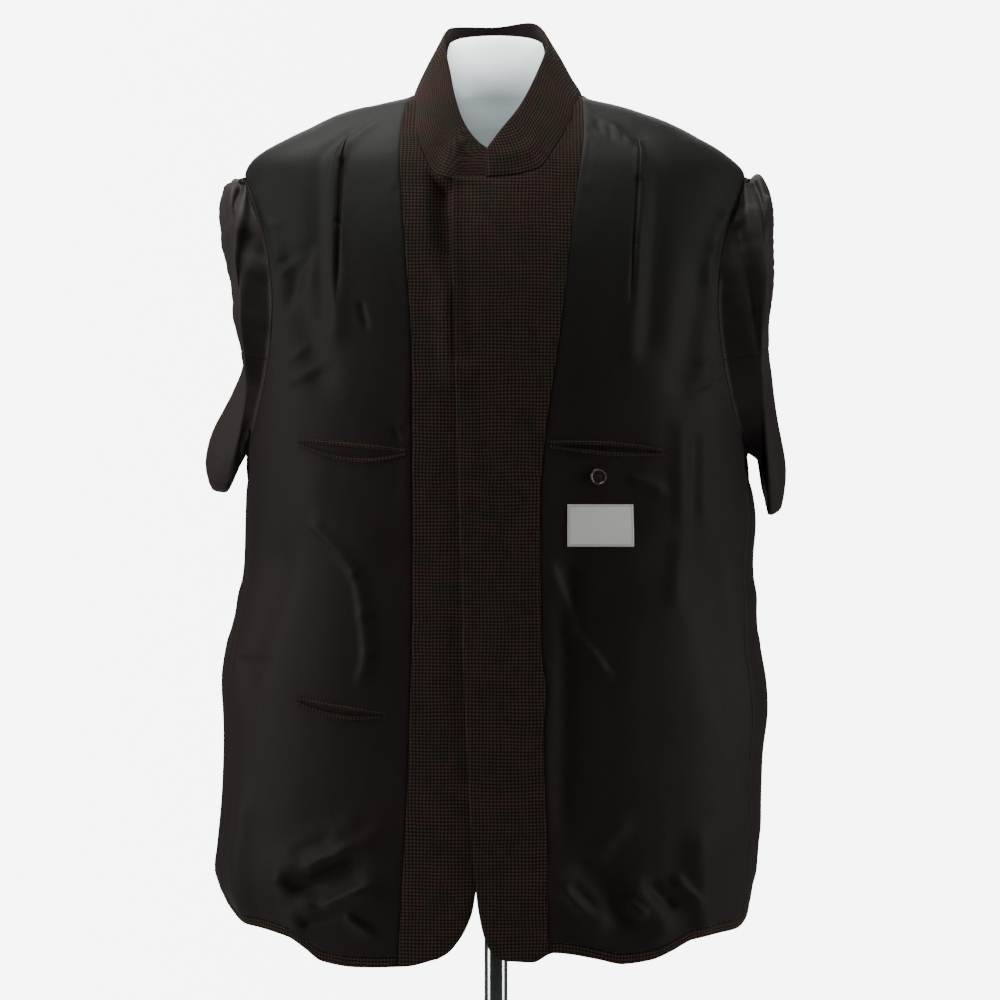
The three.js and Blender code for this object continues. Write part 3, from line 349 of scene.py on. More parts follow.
FORM = rows_of(
    FormRow, (846, 150, 98, 94), (852, 162, 109, 105), (872, 168, 114, 110), (930, 162, 110, 106),
    (1000, 154, 106, 100), (1065, 152, 108, 98), (1135, 160, 116, 103), (1205, 171, 123, 111),
    (1275, 178, 126, 119), (1340, 181, 122, 124), (1390, 180, 109, 122), (1425, 176, 92, 112),
    (1454.5, 166, 74, 99), (1471.7, 150, 62.5, 86), (1481.7, 132, 56.5, 76), (1488.7, 113, 53, 69),
    (1494.2, 92, 51, 62), (1499.5, 72, 49.7, 56), (1507, 57, 48.7, 51), (1520, 49.5, 48, 48),
    (1537, 46.5, 47, 46), (1548, 45.5, 46, 45), (1553, 43.5, 44, 43), (1555, 39.5, 40, 39),
)
POCKETS = rows_of(
    PocketRow, ("upper_left", -181, 1173, -79, 1163, 8, 5, 5),
    ("lower_left", -181, 937, -101, 925, 4, 3, 4.5),
    ("upper_right", 47, 1170, 153, 1163, 3.4, 0, 5),
)
# Fine folds of the fronts, in x and height: pleats, hollows, pocket bags, hem.
FRONT_CREASES_LEFT = rows_of(
    Crease, (-141.4, 1430, -143.6, 1372, -3, 3, 3, 0.02),
    (-143.6, 1372, -144.1, 1296, -3, 3, 3, 0.5), (-150, 800, -106, 838, -3.4, 9, 10, 0.5, 2),
    (-173.6, 734.5, -128.3, 751.7, -5, 5, 6, 0.5, 1),
    (-122, 1296.5, -115.7, 1271.1, -1.9, 3, 3, 0.4),
    (-217.9, 1400.5, -204.3, 1368.9, 2, 5, 8, 0.1, 2),
    (-204.3, 1368.9, -198, 1332.7, 2, 5, 8, 0.5, 1),
    (-171.8, 1346.2, -198, 1281.1, -3.2, 9, 6, 0.5),
    (-195.3, 1330, -163.6, 1350.8, 1.7, 5, 4, 0.5),
    (-208.9, 1332.7, -181.7, 1346.2, -2.3, 3, 3, 0.5),
    (-190.8, 1246.7, -163.6, 1264.8, 1.4, 4, 4, 0.5),
    (-186.2, 1228.6, -145.5, 1249.4, 1.6, 4, 5, 0.5, 1),
    (-91.2, 1183.3, -85.8, 1173.4, -1.6, 2.2, 2.2, 0.3),
    (-83.1, 1185.2, -78.6, 1173.4, -1.6, 2.2, 2.2, 0.3),
    (-163.6, 1092.8, -127.4, 1047.6, 2.5, 3, 9, 0.05, -3),
    (-127.4, 1047.6, -121.1, 1011.4, 2.5, 3, 9, 0.05, -1),
    (-121.1, 1011.4, -118.4, 975.2, 2.5, 3, 9, 0.1, -1),
    (-118.4, 975.2, -127.4, 948, 2.2, 3, 9, 0.6, -1),
    (-236, 970.7, -199.8, 973.4, -2.5, 3, 3, 0.5, 1),
    (-167.2, 787, -124.7, 811.4, 6.5, 9, 5, 0.5, 1), (-200, 770, -158, 743, 5, 9, 8, 0.4, -1),
    (-150, 753, -103.9, 773, 6.5, 8, 5, 0.5, -2), (-178.7, 798.7, -143, 820.1, -3.2, 8, 6, 0.5, 1),
    (-131.9, 739.9, -104.8, 721.8, 4.3, 4.6, 2.7, 0.5),
)
FRONT_CREASES_RIGHT = rows_of(
    Crease, (130.2, 1412, 125.6, 1351, -2.4, 3, 3, 0.02),
    (125.6, 1351, 121.8, 1284, -2.4, 3, 3, 0.5), (94, 800, 128, 836, 3.2, 8, 10, 0.5, -3),
    (94.3, 1471.1, 97.9, 1456.7, -0.7, 2.2, 2.2, 0.5),
    (105.2, 1465.7, 107.9, 1450.1, -1, 2.2, 2.2, 0.5),
    (116.9, 1460.3, 118.7, 1447.8, -0.6, 2.4, 2.4, 0.5),
    (225.5, 1403.3, 209.2, 1377.9, 2.6, 7, 5, 0.1, 1),
    (209.2, 1377.9, 198.4, 1346.2, 2.6, 7, 5, 0.1, 1),
    (198.4, 1346.2, 193.9, 1310, 2.5, 7, 5, 0.4, 1),
    (198.4, 1228.6, 175.8, 1219.5, -2.3, 3, 3, 0.6),
    (195.7, 1246.7, 179.4, 1243.1, 1.9, 3, 3, 0.6),
    (126, 1138.1, 157.7, 1124.5, 2.9, 5, 5, 0.4, -2),
    (168.5, 1183.3, 170.3, 1074.8, 2.3, 8, 9, 0.4, 2),
    (182.1, 1174.3, 180.3, 1083.8, -2.3, 6, 6, 0.4),
    (166.7, 1079.3, 162.2, 1011.4, 2.6, 9, 10, 0.4),
    (67.2, 1054.8, 63.5, 785.1, -3.5, 12, 12, 0.3, 3),
    (50.9, 1056.7, 71.7, 997.8, 2.3, 9, 3, 0.05, -3),
    (71.7, 997.8, 98.8, 966.1, 2.3, 9, 3, 0.05, -2), (98.8, 966.1, 107.9, 957.1, 2, 9, 3, 0.6),
    (121.5, 753.5, 139.6, 739.9, 5.3, 5.8, 3.6, 0.4),
    (166.7, 771.6, 193.9, 744.4, 5.3, 5.8, 4.5, 0.4, 1),
    (144.1, 767, 166.7, 744.4, -5.3, 6.9, 5.4, 0.4), (62, 766, 88, 738, 3.4, 4, 4, 0.5),
    (72, 769, 98, 742, -3, 4, 4, 0.5),
)
# Grooves of the two sewn pleats, from the shoulder down.
PLEAT_LEFT = rows_of(
    Spot, (-135.5, 1460), (-141.9, 1424), (-143.6, 1360), (-144.2, 1276),
)
PLEAT_RIGHT = rows_of(
    Spot, (132.3, 1456), (129.9, 1410), (125.6, 1351), (120.8, 1262),
)
# Folds of the facings, in x and height: the lapels' rolls.
FACING_CREASES_LEFT = rows_of(
    Crease, (-68.6, 1482, -59.6, 1436.8, 2, 5, 5, 0.05),
    (-59.6, 1436.8, -53.2, 1405.1, 2, 5, 5, 0.05), (-53.2, 1405.1, -48.7, 1301, 1.8, 5, 5, 0.5),
    (-50.5, 1414, -41, 1300, -16, 9, 6, 0.55),
)
FACING_CREASES_RIGHT = rows_of(
    Crease, (63.5, 1518.2, 67.2, 1482, 2.2, 6, 5, 0.05), (67.2, 1482, 58.1, 1454.8, 2, 6, 5, 0.05),
    (58.1, 1454.8, 44.5, 1427.7, 1.8, 6, 5, 0.4), (70.8, 1495.6, 69.9, 1445.8, -1.6, 3, 3, 0.3),
)
# Folds of the side panels, in turn times three and height.
SIDE_CREASES = rows_of(
    Crease, (226, 1060, 262, 1012, 2.2, 7, 9, 0.5, 3), (238, 1150, 284, 1118, -1.8, 6, 7, 0.5, -3),
    (262, 985, 252, 890, 1.8, 9, 7, 0.5, 3), (288, 930, 300, 830, 2, 8, 9, 0.4, -3),
    (232, 800, 262, 756, 2, 6, 5, 0.4, 2),
)
# Folds of the back, in x and height, uneven on its two halves.
BACK_CREASES_LEFT = rows_of(
    Crease, (-8, 1395, -12, 1180, 1.9, 5, 9, 0.5, 2), (-30, 1460, -96, 1402, -1.7, 6, 8, 0.5, 4),
    (-206, 1300, -150, 1248, 2.4, 7, 10, 0.5, -5), (-196, 1210, -120, 1196, 1.9, 6, 8, 0.6, 4),
    (-60, 1120, -66, 930, -1.8, 12, 14, 0.5, 4), (-118, 1040, -126, 830, 2.2, 12, 10, 0.5, -4),
    (-186, 960, -172, 800, -2.2, 9, 12, 0.4, 5), (-90, 812, -66, 748, 2, 6, 7, 0.4, 2),
    (-158, 792, -186, 742, 2.2, 7, 6, 0.4, -2),
)
BACK_CREASES_RIGHT = rows_of(
    Crease, (34, 1452, 112, 1408, -1.8, 6, 8, 0.5, -4), (204, 1318, 138, 1268, 2.2, 9, 7, 0.5, 4),
    (190, 1192, 134, 1176, 2, 7, 6, 0.6, -4), (52, 1160, 46, 1000, 1.8, 10, 13, 0.5, -3),
    (104, 1090, 118, 860, -2.2, 11, 13, 0.5, 5), (162, 990, 150, 790, 2.3, 10, 12, 0.4, -5),
    (60, 860, 44, 744, -2, 8, 9, 0.4, 3), (128, 800, 156, 740, 2.3, 6, 7, 0.4, 3),
    (206, 850, 196, 752, -1.9, 8, 8, 0.4, -2),
)
# Folds of the sleeves, in mm round from the shoulder and mm along the run.
SLEEVE_CREASES_LEFT = rows_of(
    Crease, (92, 22, 196, 44, -4.6, 4, 5, 0.5, -4), (120, 58, 214, 66, 4.4, 5, 4, 0.5, 4),
    (18, 4, 150, 34, 4.9, 3.8, 6, 0.6, -7), (40, 20, 170, 60, -4.9, 3.8, 4.5, 0.6, -6),
    (24, 42, 160, 86, 4.5, 4.5, 4.5, 0.6, -5), (-30, 8, -150, 40, 4.5, 4.5, 5.2, 0.6, 6),
    (-50, 34, -165, 72, -4.5, 4.5, 4.5, 0.6, 5), (236, 10, 262, 66, 4.5, 5.2, 4.5, 0.6, 3),
    (316, 10, 296, 70, -4.5, 4.5, 5.2, 0.6, -3),
)
SLEEVE_CREASES_RIGHT = rows_of(
    Crease, (84, 18, 190, 38, -4.6, 4, 5, 0.5, -4), (104, 50, 200, 64, 4.6, 5, 4, 0.5, 5),
    (14, 6, 138, 30, 4.5, 4.5, 5.2, 0.6, -6), (36, 28, 162, 56, -4.9, 3.8, 4.5, 0.6, -6),
    (60, 48, 168, 92, 4.9, 4.5, 4.5, 0.6, -4), (-24, 6, -140, 44, 4.5, 5.2, 4.5, 0.6, 6),
    (-60, 30, -168, 80, -4.5, 4.5, 4.5, 0.6, 4), (262, 8, 250, 70, 4.9, 5.2, 4.5, 0.6, 3),
    (330, 12, 318, 66, 4.1, 4.5, 5.2, 0.6, -3),
)
# Folds of the collar, in mm along it from the right front and mm up it.
COLLAR_CREASES = rows_of(
    Crease, (20, 20, 96, 34, 0.9, 7, 6, 0.3, 3), (150, 12, 196, 30, -0.9, 8, 7, 0.4, 2),
    (232, 14, 286, 26, 0.9, 8, 8, 0.4, -2), (330, 10, 352, 40, -0.8, 7, 7, 0.4, 1),
)


class Smooth:
    """Smooth curve through a column of numbers, without overshooting it.

    Args:
        at: Where the rows stand, rising.
        values: The rows, numbers or arrays of one shape.
        free: Whether it may overshoot, which keeps a path round at its turns.
    """

    def __init__(self, at: Sequence[float], values: Sequence, free: bool = False) -> None:
        self.at = np.asarray(at, float)
        self.values = np.asarray(values, float)
        lead = (-1,) + (1,) * (self.values.ndim - 1)
        slope = np.diff(self.values, axis=0) / np.diff(self.at).reshape(lead)
        product = slope[:-1] * slope[1:]
        total = np.where(product > 0, slope[:-1] + slope[1:], 1)
        inner = np.where(product > 0, 2 * product / total, 0)
        if free:
            span = (self.at[2:] - self.at[:-2]).reshape(lead)
            inner = (self.values[2:] - self.values[:-2]) / span
        self.tangent = np.concatenate([slope[:1], inner, slope[-1:]])

    def __call__(self, x: Array) -> Array:
        """Returns the curve's values at x."""
        c = np.clip(np.asarray(x, float), self.at[0], self.at[-1])
        i = np.clip(np.searchsorted(self.at, c) - 1, 0, len(self.at) - 2)
        tail = c.shape + (1,) * (self.values.ndim - 1)
        width = (self.at[i + 1] - self.at[i]).reshape(tail)
        t = (c - self.at[i]).reshape(tail) / width
        t2, t3 = t * t, t * t * t
        return (
            (2 * t3 - 3 * t2 + 1) * self.values[i]
            + (t3 - 2 * t2 + t) * width * self.tangent[i]
            + (3 * t2 - 2 * t3) * self.values[i + 1]
            + (t3 - t2) * width * self.tangent[i + 1]
        )


def running_length(points: Array) -> Array:
    """Returns the length along points (n, k), starting at 0."""
    steps = np.linalg.norm(np.diff(points, axis=0), axis=-1)
    return np.concatenate([[0.0], np.cumsum(steps)])


def unit(vectors: Array) -> Array:
    """Returns vectors of length 1."""
    return vectors / np.maximum(np.linalg.norm(vectors, axis=-1, keepdims=True), 1e-9)


def joined(*parts: Array | float) -> Array:
    """Returns places or points from their parts, one along the last axis for each."""
    return np.stack(np.broadcast_arrays(*parts), axis=-1)


def eased(t: Array) -> Array:
    """Returns a smooth step from 0 to 1."""
    t = np.clip(t, 0, 1)
    return t * t * (3 - 2 * t)


def ripple(a: Array, b: Array, size_a: float, size_b: float, seed: int) -> Array:
    """Smooth uneven waves over a plane.

    Args:
        a: First measure of each place.
        b: Second measure of each place.
        size_a: Spacing of the waves along a.
        size_b: Spacing of the waves along b.
        seed: Which of the possible patterns.

    Returns:
        Heights from -1 to 1.
    """
    n = WAVE_CELLS
    table = np.random.default_rng(seed).uniform(-1, 1, (n, n))
    p, q = a / size_a, b / size_b
    i, j = np.floor(p).astype(int), np.floor(q).astype(int)
    s, t = p - i, q - j
    s, t = s**3 * (s * (6 * s - 15) + 10), t**3 * (t * (6 * t - 15) + 10)
    low = table[i % n, j % n] * (1 - s) + table[(i + 1) % n, j % n] * s
    high = table[i % n, (j + 1) % n] * (1 - s) + table[(i + 1) % n, (j + 1) % n] * s
    return low * (1 - t) + high * t


def crease_rise(creases: Sequence[Crease], across: Array, along: Array) -> Array:
    """Returns the height in mm that creases add at places on a plane."""
    rise = np.zeros(np.broadcast(across, along).shape)
    for c in creases:
        da, dl = c.across1 - c.across0, c.along1 - c.along0
        length = math.hypot(da, dl)
        pa, pl = across - c.across0, along - c.along0
        free = (pa * da + pl * dl) / (length * length)
        t = np.clip(free, 0, 1)
        side = (pa * dl - pl * da) / length - 4 * c.bend * t * (1 - t)
        beyond = (free - t) * length
        half = np.where(side > 0, c.near, c.far)
        away = (side / half) ** 2 + (beyond / max(c.near, c.far)) ** 2
        rise += c.rise * eased((1 - t) / max(c.fade, 1e-3)) * np.exp(-away)
    return rise


def patch(top: Curve, bottom: Curve, first: Curve, last: Curve) -> Area:
    """Surface between four curves that meet at their ends.

    Args:
        top: Curve along the first row.
        bottom: Curve along the last row.
        first: Curve down the first column.
        last: Curve down the last column.

    Returns:
        Function from column and row shares to places (rows, columns, 2).
    """
    ends = np.array([0.0, 1.0])
    (c00, c10), (c01, c11) = top(ends), bottom(ends)

    def area(u: Array, v: Array) -> Array:
        s, t = u[None, :, None], v[:, None, None]
        edges = (1 - t) * top(u)[None] + t * bottom(u)[None]
        edges = edges + (1 - s) * first(v)[:, None] + s * last(v)[:, None]
        corners = (1 - t) * ((1 - s) * c00 + s * c10) + t * ((1 - s) * c01 + s * c11)
        return edges - corners

    return area


def stations(length: float, step: float, tight: Sequence[float] = (0.7, 1.6, 3.0)) -> Array:
    """Shares from 0 to 1 along a length in mm, closer together at both ends."""
    start = np.array((0.0, *tight))
    count = max(int((length - 2 * tight[-1]) / step), 2)
    middle = np.linspace(tight[-1], length - tight[-1], count + 1)[1:-1]
    return np.concatenate([start, middle, length - start[::-1]]) / length


class Skin:
    """The coat's skin: a rounded level outline at each height, with its folds."""

    def __init__(self) -> None:
        ridge = np.array([((row.left + row.right) / 2, row.z) for row in LEVELS])
        self.downs = running_length(ridge)
        self.z, self.left, self.right, self.front, self.back = (
            self.relaxed(column, spread) for column, spread in zip(zip(*LEVELS), LEVEL_SPREADS)
        )
        fine = np.linspace(0, self.downs[-1], 6000)
        self._down, self._height = fine[::-1], self.z(fine)[::-1]

    def relaxed(self, column: Sequence[float], spread: float) -> Smooth:
        """Returns a column of the levels with its bends rounded below the neck."""
        curve = Smooth(self.downs, column)
        at = np.linspace(0, self.downs[-1], 500)
        weights = np.exp(-(((at[:, None] - at[None, :]) / spread) ** 2))
        rounded = weights @ curve(at) / weights.sum(axis=1)
        above, below = RELAX_EASE
        ends = eased((at - RELAX_START) / above) * eased((self.downs[-1] - at) / below)
        return Smooth(at, curve(at) * (1 - ends) + rounded * ends)

    def down_at(self, z: Array) -> Array:
        """Returns how far down the coat a height is."""
        return np.interp(z, self._height, self._down)

    def plain(self, turn: Array, down: Array) -> Array:
        """Returns points of the skin without any fold."""
        s, c = np.sin(np.radians(turn)), np.cos(np.radians(turn))
        reach = np.where(s < 0, self.left(down), self.right(down))
        depth = np.where(c > 0, self.front(down), self.back(down))
        power = 2 / SQUARENESS
        x = np.sign(s) * reach * np.abs(s) ** power
        y = -np.sign(c) * depth * np.abs(c) ** power
        return joined(x, y, self.z(down))

    def normal(self, turn: Array, down: Array) -> Array:
        """Returns the outward directions of the plain skin."""
        low, high = np.maximum(down - 3, 0), np.minimum(down + 3, self.downs[-1])
        along = self.plain(turn + 1, down) - self.plain(turn - 1, down)
        fall = self.plain(turn, high) - self.plain(turn, low)
        return unit(np.cross(fall, along))

    def turn_at(self, x: Array, z: Array) -> Array:
        """Returns the turn of places on the front, by x and height."""
        down = self.down_at(z)
        reach = np.where(x < 0, self.left(down), self.right(down))
        share = np.minimum(np.abs(x) / reach, 1)
        return np.sign(x) * np.degrees(np.arcsin(share ** (SQUARENESS / 2)))

    def fold_rise(self, turn: Array, z: Array) -> Array:
        """Returns the rise of the large folds."""
        rise = np.zeros(np.broadcast(turn, z).shape)
        for fold in FOLDS:
            across = (fold.turn1 - fold.turn0 + 180) % 360 - 180
            offset = (turn - fold.turn0 + 180) % 360 - 180
            dx, dz = across * FOLD_DEGREE, fold.z1 - fold.z0
            px, pz = offset * FOLD_DEGREE, z - fold.z0
            t = np.clip((px * dx + pz * dz) / (dx * dx + dz * dz), 0, 1)
            away = np.hypot(px - t * dx, pz - t * dz) / fold.half
            rise += fold.rise * np.exp(-away * away)
        return rise

    def lap_lift(self, x: Array, z: Array) -> Array:
        """Returns how far the upper front stands off the lower one."""
        lapel = np.exp(-(((z - LAPEL_Z) / LAPEL_REACH) ** 2))
        return eased((LAP_START - x) / LAP_EASE) * (LAP_LIFT + LAPEL_LIFT * lapel)

    def place(self, turn: Array, down: Array, lapped: bool) -> tuple[Array, Array]:
        """Returns points on the middle of the cloth, and their outward directions."""
        point, normal = self.plain(turn, down), self.normal(turn, down)
        x, z = point[..., 0], point[..., 2]
        rise = self.fold_rise(turn, z)
        if lapped:
            rise = rise + np.where(np.abs(turn) < 60, self.lap_lift(x, z), 0)
        return point + normal * rise[..., None], normal

    def on_front(self, spots: Array) -> Array:
        """Returns (turn, down) of places (x, z) on the front."""
        x, z = spots[..., 0], spots[..., 1]
        return joined(self.turn_at(x, z), self.down_at(z))

    def opened(self, curves: Sequence[Curve], behind: bool) -> Area:
        """Panel between curves in (turn, down), even in its opened-out width."""

        def spread(curve: Curve) -> Curve:
            def moved(t: Array) -> Array:
                place = curve(t)
                x = self.plain(place[..., 0], place[..., 1])[..., 0]
                share = (np.abs(x) / WIDEST) ** (SQUARENESS / 2)
                return joined(np.sign(x) * np.degrees(np.arcsin(share)), place[..., 1])

            return moved

        flat = patch(*(spread(curve) for curve in curves))

        def area(u: Array, v: Array) -> Array:
            wide, down = np.moveaxis(flat(u, v), -1, 0)
            x = WIDEST * np.abs(np.sin(np.radians(wide))) ** (2 / SQUARENESS)
            reach = np.where(wide < 0, self.left(down), self.right(down))
            turn = np.degrees(np.arcsin(np.minimum(x / reach, 1) ** (SQUARENESS / 2)))
            turn = 180 - turn if behind else turn
            return joined(np.sign(wide) * turn, down)

        return area


SKIN = Skin()


@dataclass
class Sheet:
    """Rows of places over one cut piece, from which its mesh is made.

    Attributes:
        point: Points on the middle of the cloth, (rows, columns, 3), in mm.
        normal: Outward directions.
        turn: Degrees round the coat, where they are needed.
        cloth: Each place on the flat cloth, (rows, columns, 2), in mm.
    """

    point: Array
    normal: Array
    turn: Array | None = None
    cloth: Array = field(init=False)

    def __post_init__(self) -> None:
        """Measures the cloth across from its first column and down from its top."""
        steps = np.linalg.norm(np.diff(self.point, axis=1), axis=-1)
        across = np.pad(np.cumsum(steps, axis=1), ((0, 0), (1, 0)))
        falls = np.linalg.norm(np.diff(self.point, axis=0), axis=-1)
        down = np.pad(np.cumsum(falls, axis=0), ((1, 0), (0, 0)))
        self.cloth = joined(across, down)

    @property
    def edge(self) -> Array:
        """Distance in mm to the nearest edge of the piece."""
        across, down = self.cloth[..., 0], self.cloth[..., 1]
        right, below = across[:, -1:] - across, down[-1:] - down
        return np.minimum(np.minimum(across, right), np.minimum(down, below))

    @property
    def free(self) -> Array:
        """How free the cloth is, from 0 at a sewn edge to 1 well inside."""
        return 1 - np.exp(-((self.edge / HELD_EDGE) ** 2))

    def lift(self, height: Array | float) -> None:
        """Moves every place out along its normal by a height in mm."""
        rise = np.broadcast_to(height, self.point.shape[:-1])
        self.point = self.point + self.normal * rise[..., None]

    def renormal(self) -> None:
        """Takes the normals from the points as they now lie."""
        across = np.gradient(self.point, axis=1)
        down = np.gradient(self.point, axis=0)
        fresh = unit(np.cross(down, across))
        sign = np.sign(np.sum(fresh * self.normal, axis=-1, keepdims=True))
        self.normal = fresh * np.where(sign == 0, 1, sign)


def panel(area: Area, columns: Array, rows: Array, lapped: bool) -> Sheet:
    """Returns the sheet over an area of the skin."""
    places = area(columns, rows)
    turn, down = places[..., 0], places[..., 1]
    point, normal = SKIN.place(turn, down, lapped)
    return Sheet(point, normal, turn)


def mesh_object(name: str, points: Array, faces: Array, uvs: Array | None = None) -> Object:
    """Makes a smooth-shaded object at the origin.

    Args:
        name: The piece's name.
        points: Vertices in mm, (n, 3).
        faces: Quads by vertex, (m, 4), or a list of faces.
        uvs: Place on the flat cloth of each vertex in mm, if it has one.

    Returns:
        The object, linked to the scene.
    """
    mesh = bpy.data.meshes.new(name)
    mesh.from_pydata((points * MM).tolist(), [], [list(map(int, face)) for face in faces])
    if uvs is not None:
        layer = mesh.uv_layers.new(name="cloth")
        loops = np.empty(len(mesh.loops), dtype=np.int32)
        mesh.loops.foreach_get("vertex_index", loops)
        layer.data.foreach_set("uv", uvs[loops].astype(np.float32).ravel())
    mesh.polygons.foreach_set("use_smooth", np.ones(len(mesh.polygons), dtype=bool))
    mesh.validate()
    mesh.update()
    made = bpy.data.objects.new(name, mesh)
    bpy.context.scene.collection.objects.link(made)
    return made


def grid_faces(rows: int, columns: int, flip: bool, closed: bool = False) -> Array:
    """Returns the quads of a grid of vertices, joined round if closed."""
    j, i = np.mgrid[0 : rows - 1, 0 : columns if closed else columns - 1]
    nxt = (i + 1) % columns
    quad = [j * columns + i, (j + 1) * columns + i, (j + 1) * columns + nxt, j * columns + nxt]
    faces = np.stack(quad, axis=-1).reshape(-1, 4)
    return faces[:, ::-1] if flip else faces


def cloth_object(
    name: str, sheet: Sheet, wall: float = CLOTH, roll: float = 0.9, grain: Array | None = None
) -> Object:
    """Makes a cut piece's thin shell: its outer face with edges rolled back.

    Args:
        name: The piece's name.
        sheet: Its places, on the outer face.
        wall: How far the edge reaches back, in mm.
        roll: How far the face sinks at its edges, in mm.
        grain: Places in mm along the cloth's threads, if not the sheet's own.

    Returns:
        The object, with the cloth's flat places as its UV map in mm.
    """
    sheet.renormal()
    sunk = roll * np.exp(-((sheet.edge / EDGE_ROUND) ** 2))
    point = sheet.point - sheet.normal * sunk[..., None]
    grow = ((1, 1), (1, 1), (0, 0))
    padded, normal = np.pad(point, grow, mode="edge"), np.pad(sheet.normal, grow, mode="edge")
    cloth = np.pad(sheet.cloth if grain is None else grain, grow, mode="edge")
    back = np.zeros(padded.shape[:2])
    back[[0, -1], :] = wall - roll
    back[:, [0, -1]] = wall - roll
    padded = padded - normal * back[..., None]
    rows, columns = padded.shape[:2]
    middle = rows // 2, columns // 2
    a = padded[middle[0] + 1, middle[1]] - padded[middle]
    b = padded[middle[0], middle[1] + 1] - padded[middle]
    flip = float(np.dot(np.cross(a, b), normal[middle])) < 0
    faces = grid_faces(rows, columns, flip)
    return mesh_object(name, padded.reshape(-1, 3), faces, cloth.reshape(-1, 2))


@dataclass(frozen=True)
class HalfCut:
    """The seam lines of one half of the coat, shared by all its pieces.

    Attributes:
        side: Which half.
        seam: The facing's seam on the lining.
        edge: The front edge.
        gorge: The seam under the collar.
        hem: Heights of the hem.
    """

    side: Side
    seam: Sequence[Spot]
    edge: Sequence[Spot]
    gorge: Sequence[Spot]
    hem: Sequence[HemRow]

    @property
    def sign(self) -> int:
        """The side's sign."""
        return self.side.value

    @property
    def lapped(self) -> bool:
        """Whether this front lies over the other."""
        return self.side is Side.RIGHT

    def hem_height(self, turn: Array) -> Array:
        """Returns the hem's height at turns from the middle front."""
        return Smooth(*zip(*self.hem))(np.abs(turn))

    def hem_at(self, x: Array) -> Array:
        """Returns the hem's height under places on the front."""
        return self.hem_height(SKIN.turn_at(x, HEM_Z))

    def armhole(self, angle: Array, shrink: float = 0) -> Array:
        """Returns (turn, down) on the armhole, from the shoulder round by the front."""
        a = np.radians(angle)
        half = ARMHOLE_WIDTH + ARMHOLE_FLARE * np.cos(a) - shrink / ARMHOLE_DEGREE
        z = ARMHOLE_Z + (ARMHOLE_HEIGHT / 2 - shrink) * np.cos(a)
        return joined(self.sign * (90 - half * np.sin(a)), SKIN.down_at(z))

    def side_seam(self, front: bool, z: Array) -> Array:
        """Returns (turn, down) on one of the side panel's seams."""
        word = ("front_" if front else "back_") + self.side.word
        rows = SIDE_SEAMS[::-1]
        turn = Smooth([row.z for row in rows], [getattr(row, word) for row in rows])(z)
        return joined(self.sign * turn, SKIN.down_at(z))

    def seam_foot_turn(self, front: bool) -> float:
        """Returns the turn at which a side seam meets the turned-up hem's line."""
        turn = 90.0
        for _ in range(6):
            turn = abs(float(self.side_seam(front, self.hem_height(turn) + TURNUP)[0]))
        return turn

    def front_curve(self, rows: Sequence[Spot]) -> tuple[Curve, float]:
        """Returns a curve in (x, z), even by length on the skin, and its length."""
        spots = np.array(rows, float)
        places = SKIN.on_front(spots)
        length = running_length(SKIN.plain(places[:, 0], places[:, 1]))
        column = Smooth(length, spots)
        return (lambda t: column(np.asarray(t) * length[-1])), float(length[-1])

    def facing_seam(self, v: Array) -> Array:
        """Returns the facing's seam in (x, z), eased onto the hem at its foot."""
        raw, _ = self.front_curve(self.seam)
        foot = raw(1.0)
        lack = self.hem_at(foot[0]) - foot[1]
        return raw(v) + joined(0 * v, lack * v**8)

    @property
    def lining_share(self) -> float:
        """How much of the facing's seam the lining is sewn to."""
        return 1 - TURNUP / self.front_curve(self.seam)[1]

    def lining_seam(self, v: Array) -> Array:
        """Returns the lining's edge on the facing, in (turn, down)."""
        return SKIN.on_front(self.facing_seam(np.asarray(v) * self.lining_share))

    @property
    def seam_turn(self) -> float:
        """Turn at the foot of the lining's edge on the facing."""
        return abs(float(self.lining_seam(np.array(1.0))[0]))

    def turnup_height(self, turn: Array) -> Array:
        """Returns the height of the turned-up hem's upper edge."""
        foot = self.facing_seam(np.array(self.lining_share))[1]
        lack = foot - self.hem_height(self.seam_turn) - TURNUP
        near_seam = np.exp(-(((turn - self.seam_turn) / 3) ** 2))
        return self.hem_height(turn) + TURNUP + lack * near_seam

    def turnup_line(self, start: float, end: float) -> Curve:
        """Returns the turned-up hem's upper edge between two turns."""

        def curve(u: Array) -> Array:
            turn = start + (end - start) * np.asarray(u)
            return joined(self.sign * turn, SKIN.down_at(self.turnup_height(turn)))

        return curve

    def shoulder(self, u: Array) -> Array:
        """Returns the shoulder seam, from the neck out to the armhole."""
        neck, tip = self.lining_seam(np.array(0.0))[1], self.armhole(0.0)[1]
        return joined(self.sign * 90, neck + (tip - neck) * u)

    def outer_edge(self, front: bool, foot_turn: float) -> Curve:
        """Returns the edge down the armhole and then a side seam."""
        join_angle = FRONT_JOIN if front else 360 - FRONT_JOIN
        start_angle = 0 if front else 360
        join_z = ARMHOLE_Z + ARMHOLE_HEIGHT / 2 * math.cos(math.radians(join_angle))
        foot_z = float(self.hem_height(foot_turn)) + TURNUP
        join = self.armhole(float(join_angle))
        nominal = self.side_seam(front, join_z)

        def curve(v: Array) -> Array:
            v = np.asarray(v)
            arm = start_angle + (join_angle - start_angle) * (v / JOIN_SHARE)
            t = np.clip((v - JOIN_SHARE) / (1 - JOIN_SHARE), 0, 1)
            seam = self.side_seam(front, join_z + (foot_z - join_z) * t)
            eased_turn = seam[..., 0] + (join[0] - nominal[0]) * (1 - t) ** 2
            below = joined(eased_turn, seam[..., 1])
            return np.where((v <= JOIN_SHARE)[..., None], self.armhole(arm), below)

        return curve

